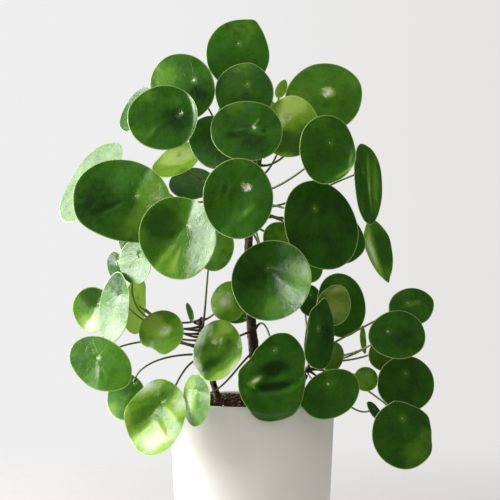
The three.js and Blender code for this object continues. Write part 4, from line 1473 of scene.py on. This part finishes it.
def leaf_colour(recipe, place, greens, lines, away):
    """The greens of the upper side out to its margin, with painted light, shade and sheen."""
    deep, lit, young, darkest = greens
    shade, star, _ = recipe.parts(recipe.chart("shade"))
    to_margin = recipe.parts(recipe.chart("edge"))[0]
    # The chart's first number is painted light above 0 and painted shade below, with paler or darker
    # tissue; its second is the pale star.
    painted_light_and_mottling = recipe.maths("ADD", shade, recipe.uneven(place, *UNEVEN["mottling"]))
    painted_sheen_amount = recipe.maths("ADD", painted_light_and_mottling, recipe.uneven(place, *UNEVEN["painted_sheen"]))
    frayed = recipe.maths("ADD", star, recipe.uneven(place, *UNEVEN["star"]))
    return recipe.layered(deep, [
        (recipe.uneven(place, *UNEVEN["patches"]), lit),
        (recipe.uneven(place, GRAIN, SHARES["grain"]), lit),
        # Painted light: lit patches in young green. Painted shade: patches in the darkest green.
        (recipe.ramp(painted_light_and_mottling, *SHARES["young"]), young),
        (recipe.ramp(painted_light_and_mottling, *SHARES["deep"]), darkest),
        # Painted sheen: whitish where the amounts pass 1.
        (recipe.ramp(painted_sheen_amount, *SHARES["painted_sheen"]), PAINTED_SHEEN_WHITE),
        (recipe.times(lines, VEIN_SHARE), VEIN_GREEN),
        (recipe.ramp(away, *SHARES["point"]), POINT_GREEN),
        # The pale star, widened on some blades into a painted highlight.
        (recipe.ramp(frayed, *SHARES["star"]), PAINTED_SHEEN_WHITE),
        (recipe.ramp(to_margin, *SHARES["by_margin"]), young),
        (recipe.ramp(to_margin, *SHARES["margin"]), MARGIN_GREEN),
    ])


def upper_side(name, greens, through):
    """The upper side with its waxed gloss, in four greens; through is the share of light that passes.
    """
    recipe = new_finish(name)
    place = recipe.place()
    lines, away = veins(recipe, recipe.chart("blade"), place)
    colour = leaf_colour(recipe, place, greens, lines, away)
    bumps = recipe.relief(recipe.times(lines, -1), VEIN_DEPTH, recipe.bumpy(place, SWELLS))
    bumps = recipe.bumpy(place, [(GRAIN, GRAIN_DEPTH)], bumps)
    rough = recipe.uneven(place, *UNEVEN["gloss"])
    skin = recipe.surface(colour, rough, bumps, **WAX)
    deep, _, young, _ = greens
    glow = recipe.blend(GLOW_SHARE, colour, young, "ADD")
    glow = recipe.blend(recipe.times(lines, VEIN_SHADOW), glow, deep)
    return recipe.finish(recipe.lit_through(through, skin, glow, bumps))


DARKEST = (0.006, 0.030, 0.002, 1)
DARKER = (0.022, 0.095, 0.005, 1)
# Deep, lit and young green, and the green of the darkest patches. The young green also paints
# lit patches, and the darkest green painted shade.
GREENS = {
    "dark": ((0.016, 0.078, 0.003, 1), (0.030, 0.130, 0.005, 1), (0.10, 0.26, 0.014, 1), DARKEST),
    "mature": ((0.021, 0.108, 0.004, 1), (0.046, 0.182, 0.008, 1), (0.16, 0.38, 0.022, 1), DARKEST),
    "fresh": ((0.045, 0.18, 0.008, 1), (0.10, 0.30, 0.015, 1), (0.30, 0.55, 0.05, 1), DARKER),
    "lime": ((0.09, 0.27, 0.012, 1), (0.18, 0.42, 0.022, 1), (0.45, 0.70, 0.09, 1), DARKER),
    "bright": ((0.22, 0.44, 0.026, 1), (0.42, 0.66, 0.07, 1), (0.80, 0.92, 0.30, 1), DARKER),
    "olive": ((0.06, 0.15, 0.014, 1), (0.12, 0.25, 0.03, 1), (0.30, 0.42, 0.08, 1), DARKER),
}
# How much light goes through; young leaves are thinner.
THROUGH = {"dark": 0.2, "mature": 0.3, "fresh": 0.3, "lime": 0.36, "bright": 0.6, "olive": 0.25}
TONES = {tone: upper_side("leaf_" + tone, GREENS[tone], THROUGH[tone]) for tone in GREENS}
print(len(TONES), "tones for the upper side")

# %% [markdown]
# ## The underside and the petiole's skin
#
# The underside is paler and duller, with raised veins and a pale patch where the petiole arrives.
# The petiole is brownish at the stem and green towards the blade, with small darker flecks. One
# colour each would do from afar, but the petioles stand out against the pale wall.

# %% Underside and petiole
UNDERSIDE = {"greens": ((0.17, 0.30, 0.09, 1), (0.10, 0.21, 0.045, 1)), "patches": (30, 3),
             "vein": (0.42, 0.55, 0.26, 1), "vein_share": 0.5, "point": (0.4, 0.5, 0.2, 1),
             "point_share": (0.9, 0.1, 0.0, 0.6), "vein_height": 0.0002,
             "grain": [((800, 2), 0.00008)], "rough": 0.55, "glow": (0.25, 0.42, 0.05, 1),
             "through": 0.3}
STALK = {"root": (0.13, 0.085, 0.03, 1), "middle": (0.17, 0.25, 0.045, 1), "root_ends": (0.0, 0.3),
         "tip": (0.25, 0.38, 0.09, 1), "tip_starts": (0.6, 1.0), "fleck": (0.10, 0.085, 0.022, 1),
         "flecks": ((300, 3), (0.35, 0.7, 0.0, 0.5)), "grain": [((900, 2), 0.0001)], "rough": 0.36}


def under_side():
    recipe = new_finish("leaf_underside")
    place = recipe.place()
    lines, away = veins(recipe, recipe.chart("blade"), place)
    colour = recipe.layered(recipe.patchy(place, UNDERSIDE["patches"], UNDERSIDE["greens"]), [
        (recipe.times(lines, UNDERSIDE["vein_share"]), UNDERSIDE["vein"]),
        (recipe.ramp(away, *UNDERSIDE["point_share"]), UNDERSIDE["point"]),
    ])
    bumps = recipe.relief(lines, UNDERSIDE["vein_height"])
    bumps = recipe.bumpy(place, UNDERSIDE["grain"], bumps)
    skin = recipe.surface(colour, UNDERSIDE["rough"], bumps)
    return recipe.finish(recipe.lit_through(UNDERSIDE["through"], skin, UNDERSIDE["glow"]))


def stalk_skin():
    recipe = new_finish("petiole_skin")
    place = recipe.place()
    along = recipe.parts(recipe.chart("edge"))[1]
    colour = recipe.layered(STALK["root"], [
        (recipe.ramp(along, *STALK["root_ends"]), STALK["middle"]),
        (recipe.ramp(along, *STALK["tip_starts"]), STALK["tip"]),
        (recipe.uneven(place, *STALK["flecks"]), STALK["fleck"]),
    ])
    return recipe.finish(recipe.surface(colour, STALK["rough"], recipe.bumpy(place, STALK["grain"])))


UNDER_SKIN = under_side()
STALK_SKIN = stalk_skin()
print("the underside and the petiole have their skins")

# %% [markdown]
# ## The leaves
#
# The crown's leaves are a mature green. Most of those named right_ get a darker green, and those
# that grow inwards or stand at the left a fresher one. Three full-grown leaves get the nearly yellow
# green as painted light: light shining through two of them, and falling on the third. Every leaf is
# one closed skin with three finishes, and it takes the place of its solid.

# %% Make the leaves
TONE_OF = {
    # The bright green on crown_glow, shoot_left_curl and crown_bright is painted light: it stands in
    # for light shining through the first two and falling on the third.
    "bright": ["crown_glow", "shoot_left_curl", "crown_bright"],
    "lime": ["shoot_mid_upper", "shoot_left_bright", "shoot_left_far", "shoot_mid_front",
             "shoot_left_front"],
    "fresh": ["front_left", "shoot_left_low", "low_inner_left", "side_left_pale",
              "side_right_fold", "shoot_left_under", "shoot_left_strip", "shoot_left_sheen",
              "shoot_left_slim", "crown_right_high", "low_inner_right", "right_small"],
    "dark": ["shoot_left_tuck", "crown_right_low"],
    "mature": ["right_far_mid", "right_far_top", "right_rim", "right_upper_back"],
    "olive": ["right_brown", "right_far_tuck", "right_lower_tuck"],
}


def tone_of(name):
    usual = "dark" if name.startswith("right_") else "mature"
    return next((tone for tone, names in TONE_OF.items() if name in names), usual)


for number, (name, leaf_row) in enumerate(LEAVES.items()):
    shape = Shape()
    ring, lift = blade(shape, name, leaf_row, number, (0, 1))
    petiole(shape, leaf_row, ring, lift, 2)
    skins = [TONES[tone_of(name)], UNDER_SKIN, STALK_SKIN]
    make_piece(name + "_leaf", shape, skins, ["leaf_" + name])
print(len(LEAVES), "leaves made")

# %% [markdown]
# ## The stems' skin
#
# An old stem is brown and corky. Wherever a leaf has dropped it keeps a scar: a raised oval pad
# with a paler pit, in a spiral up the stem. Scars change the outline, so they are in the mesh; the
# cork's cracks are fine enough for a bump. Towards the top the bark is young and still greenish.

# %% Bark
BARK = {"colours": ((0.022, 0.007, 0.003, 1), (0.11, 0.036, 0.013, 1)), "patches": (160, 4, 0.65),
        "scar": (0.30, 0.19, 0.11, 1), "scar_share": 0.6, "young": (0.13, 0.16, 0.035, 1),
        "young_share": (0.315, 0.365, 0.0, 0.8), "cracks": [((420, 5, 0.65), 0.0009)],
        "gloss": ((240, 3), (0.35, 0.65, 0.38, 0.75))}


def bark():
    recipe = new_finish("stem_bark")
    place = recipe.place()
    scar = recipe.parts(recipe.chart("blade"))[0]
    colour = recipe.layered(recipe.patchy(place, BARK["patches"], BARK["colours"]), [
        (recipe.times(scar, BARK["scar_share"]), BARK["scar"]),
        (recipe.ramp(recipe.parts(place)[2], *BARK["young_share"]), BARK["young"]),
    ])
    rough = recipe.uneven(place, *BARK["gloss"])
    return recipe.finish(recipe.surface(colour, rough, recipe.bumpy(place, BARK["cracks"])))


BARK_SKIN = bark()
print("the bark turns green at", BARK["young_share"][0], "m")

# %% Scarred stems
STEM = {"sides": 40, "step": 0.9, "tip": 0.7}
SCARS = {"first": 24, "last": 6, "pitch": 6.2, "turn": 137.5, "loose": 1, "reach": 5}
PAD = (0.75, 2.6, 1.7)  # height, width and length of a scar's raised pad
PIT = (0.45, 1.5, 0.9)  # depth, width and length of the pit in it
NODE_RING = (0.18, 1.1)  # height and length of the ring round the stem at each scar
FULL_SCARS = 3.5  # thinner stems than this have smaller scars
FLUTES = ((0.12, 3, 7), (0.1, 5, -4))  # height, how many round the stem, and how slowly they turn


def scar_places(length, chance):
    """How far along the stem each scar is, and its direction."""
    spots = np.arange(SCARS["first"], length - SCARS["last"], SCARS["pitch"])
    return [(spot + chance.uniform(-SCARS["loose"], SCARS["loose"]),
             math.radians(SCARS["turn"]) * i) for i, spot in enumerate(spots)]


def scarred(turns, stop, thick, scars):
    """Radii of a ring of the stem, and how much of each point lies in a scar."""
    radius = np.full(len(turns), thick)
    mark = np.zeros(len(turns))
    for spot, turn in scars:
        rise = stop - spot
        if abs(rise) > SCARS["reach"]:
            continue
        across = ((turns - turn + math.pi) % FULL_TURN - math.pi) * thick
        pad, pit = (hill(across, wide, rise, long) for _, wide, long in (PAD, PIT))
        radius += (PAD[0] * pad - PIT[0] * pit) * min(1, thick / FULL_SCARS)
        radius += NODE_RING[0] * hill(rise, NODE_RING[1])
        mark = np.maximum(mark, pit)
    for size, count, slow in FLUTES:
        radius += size * np.sin(count * turns + stop / slow)
    return radius, mark


def stem_skin(name, seed):
    """A stem with scars in a spiral, as rings along its line."""
    sides = STEM["sides"]
    turns = turn_points(sides)
    run = run_along(LINES[name][:, :3])
    stops = np.arange(0, run[-1], STEM["step"])
    path = points_at(LINES[name], run, stops)
    line, thick = path[:, :3], path[:, 3]
    ways = np.gradient(line, axis=0)
    scars = scar_places(run[-1], np.random.default_rng(seed))
    shape = Shape()
    rings = []
    circles = hoops(line, ways, np.array([1.0, 0, 0]), turns)
    for stop, wide, (spot, circle) in zip(stops, thick, circles):
        radius, mark = scarred(turns, stop, wide, scars)
        rest = np.tile([FAR_FROM_MARGIN, stop / run[-1]], (sides, 1))
        chart = np.column_stack([mark, mark, rest])
        rings.append(shape.put(spot + circle * radius[:, None], chart))
    shape.tube(rings, sides, 0)
    shape.fan(rings[0], shape.put(line[0]), sides, 0, flip=True)
    tip = shape.put(line[-1] + unit(ways[-1]) * thick[-1] * STEM["tip"])
    shape.fan(rings[-1], tip, sides, 0)
    return shape


print("a scar every", SCARS["pitch"], "mm of stem")

# %% [markdown]
# ## The stems and their young leaves
#
# Each stem ends in a young leaf that is still part of it, so the two are one piece. The main
# stem's is nearly yellow; the shoots' are an olive and a lime green.

# %% Make the stems
STEM_NODES = {"main": "main_stem", "left": "left_shoot", "right": "right_shoot"}
YOUNG_TONES = {"main": "bright", "left": "olive", "right": "lime"}
STEM_SEED, YOUNG_SEED = 100, 200

for number, (name, node) in enumerate(STEM_NODES.items()):
    shape = stem_skin(name, STEM_SEED + number)
    young = YOUNG_LEAVES[name]
    ring, lift = blade(shape, "young_" + name, young, YOUNG_SEED + number, (1, 2))
    petiole(shape, young, ring, lift, 3)
    skins = [BARK_SKIN, TONES[YOUNG_TONES[name]], UNDER_SKIN, STALK_SKIN]
    make_piece(name + "_stem_bark", shape, skins, [node])
print(len(STEM_NODES), "stems made")
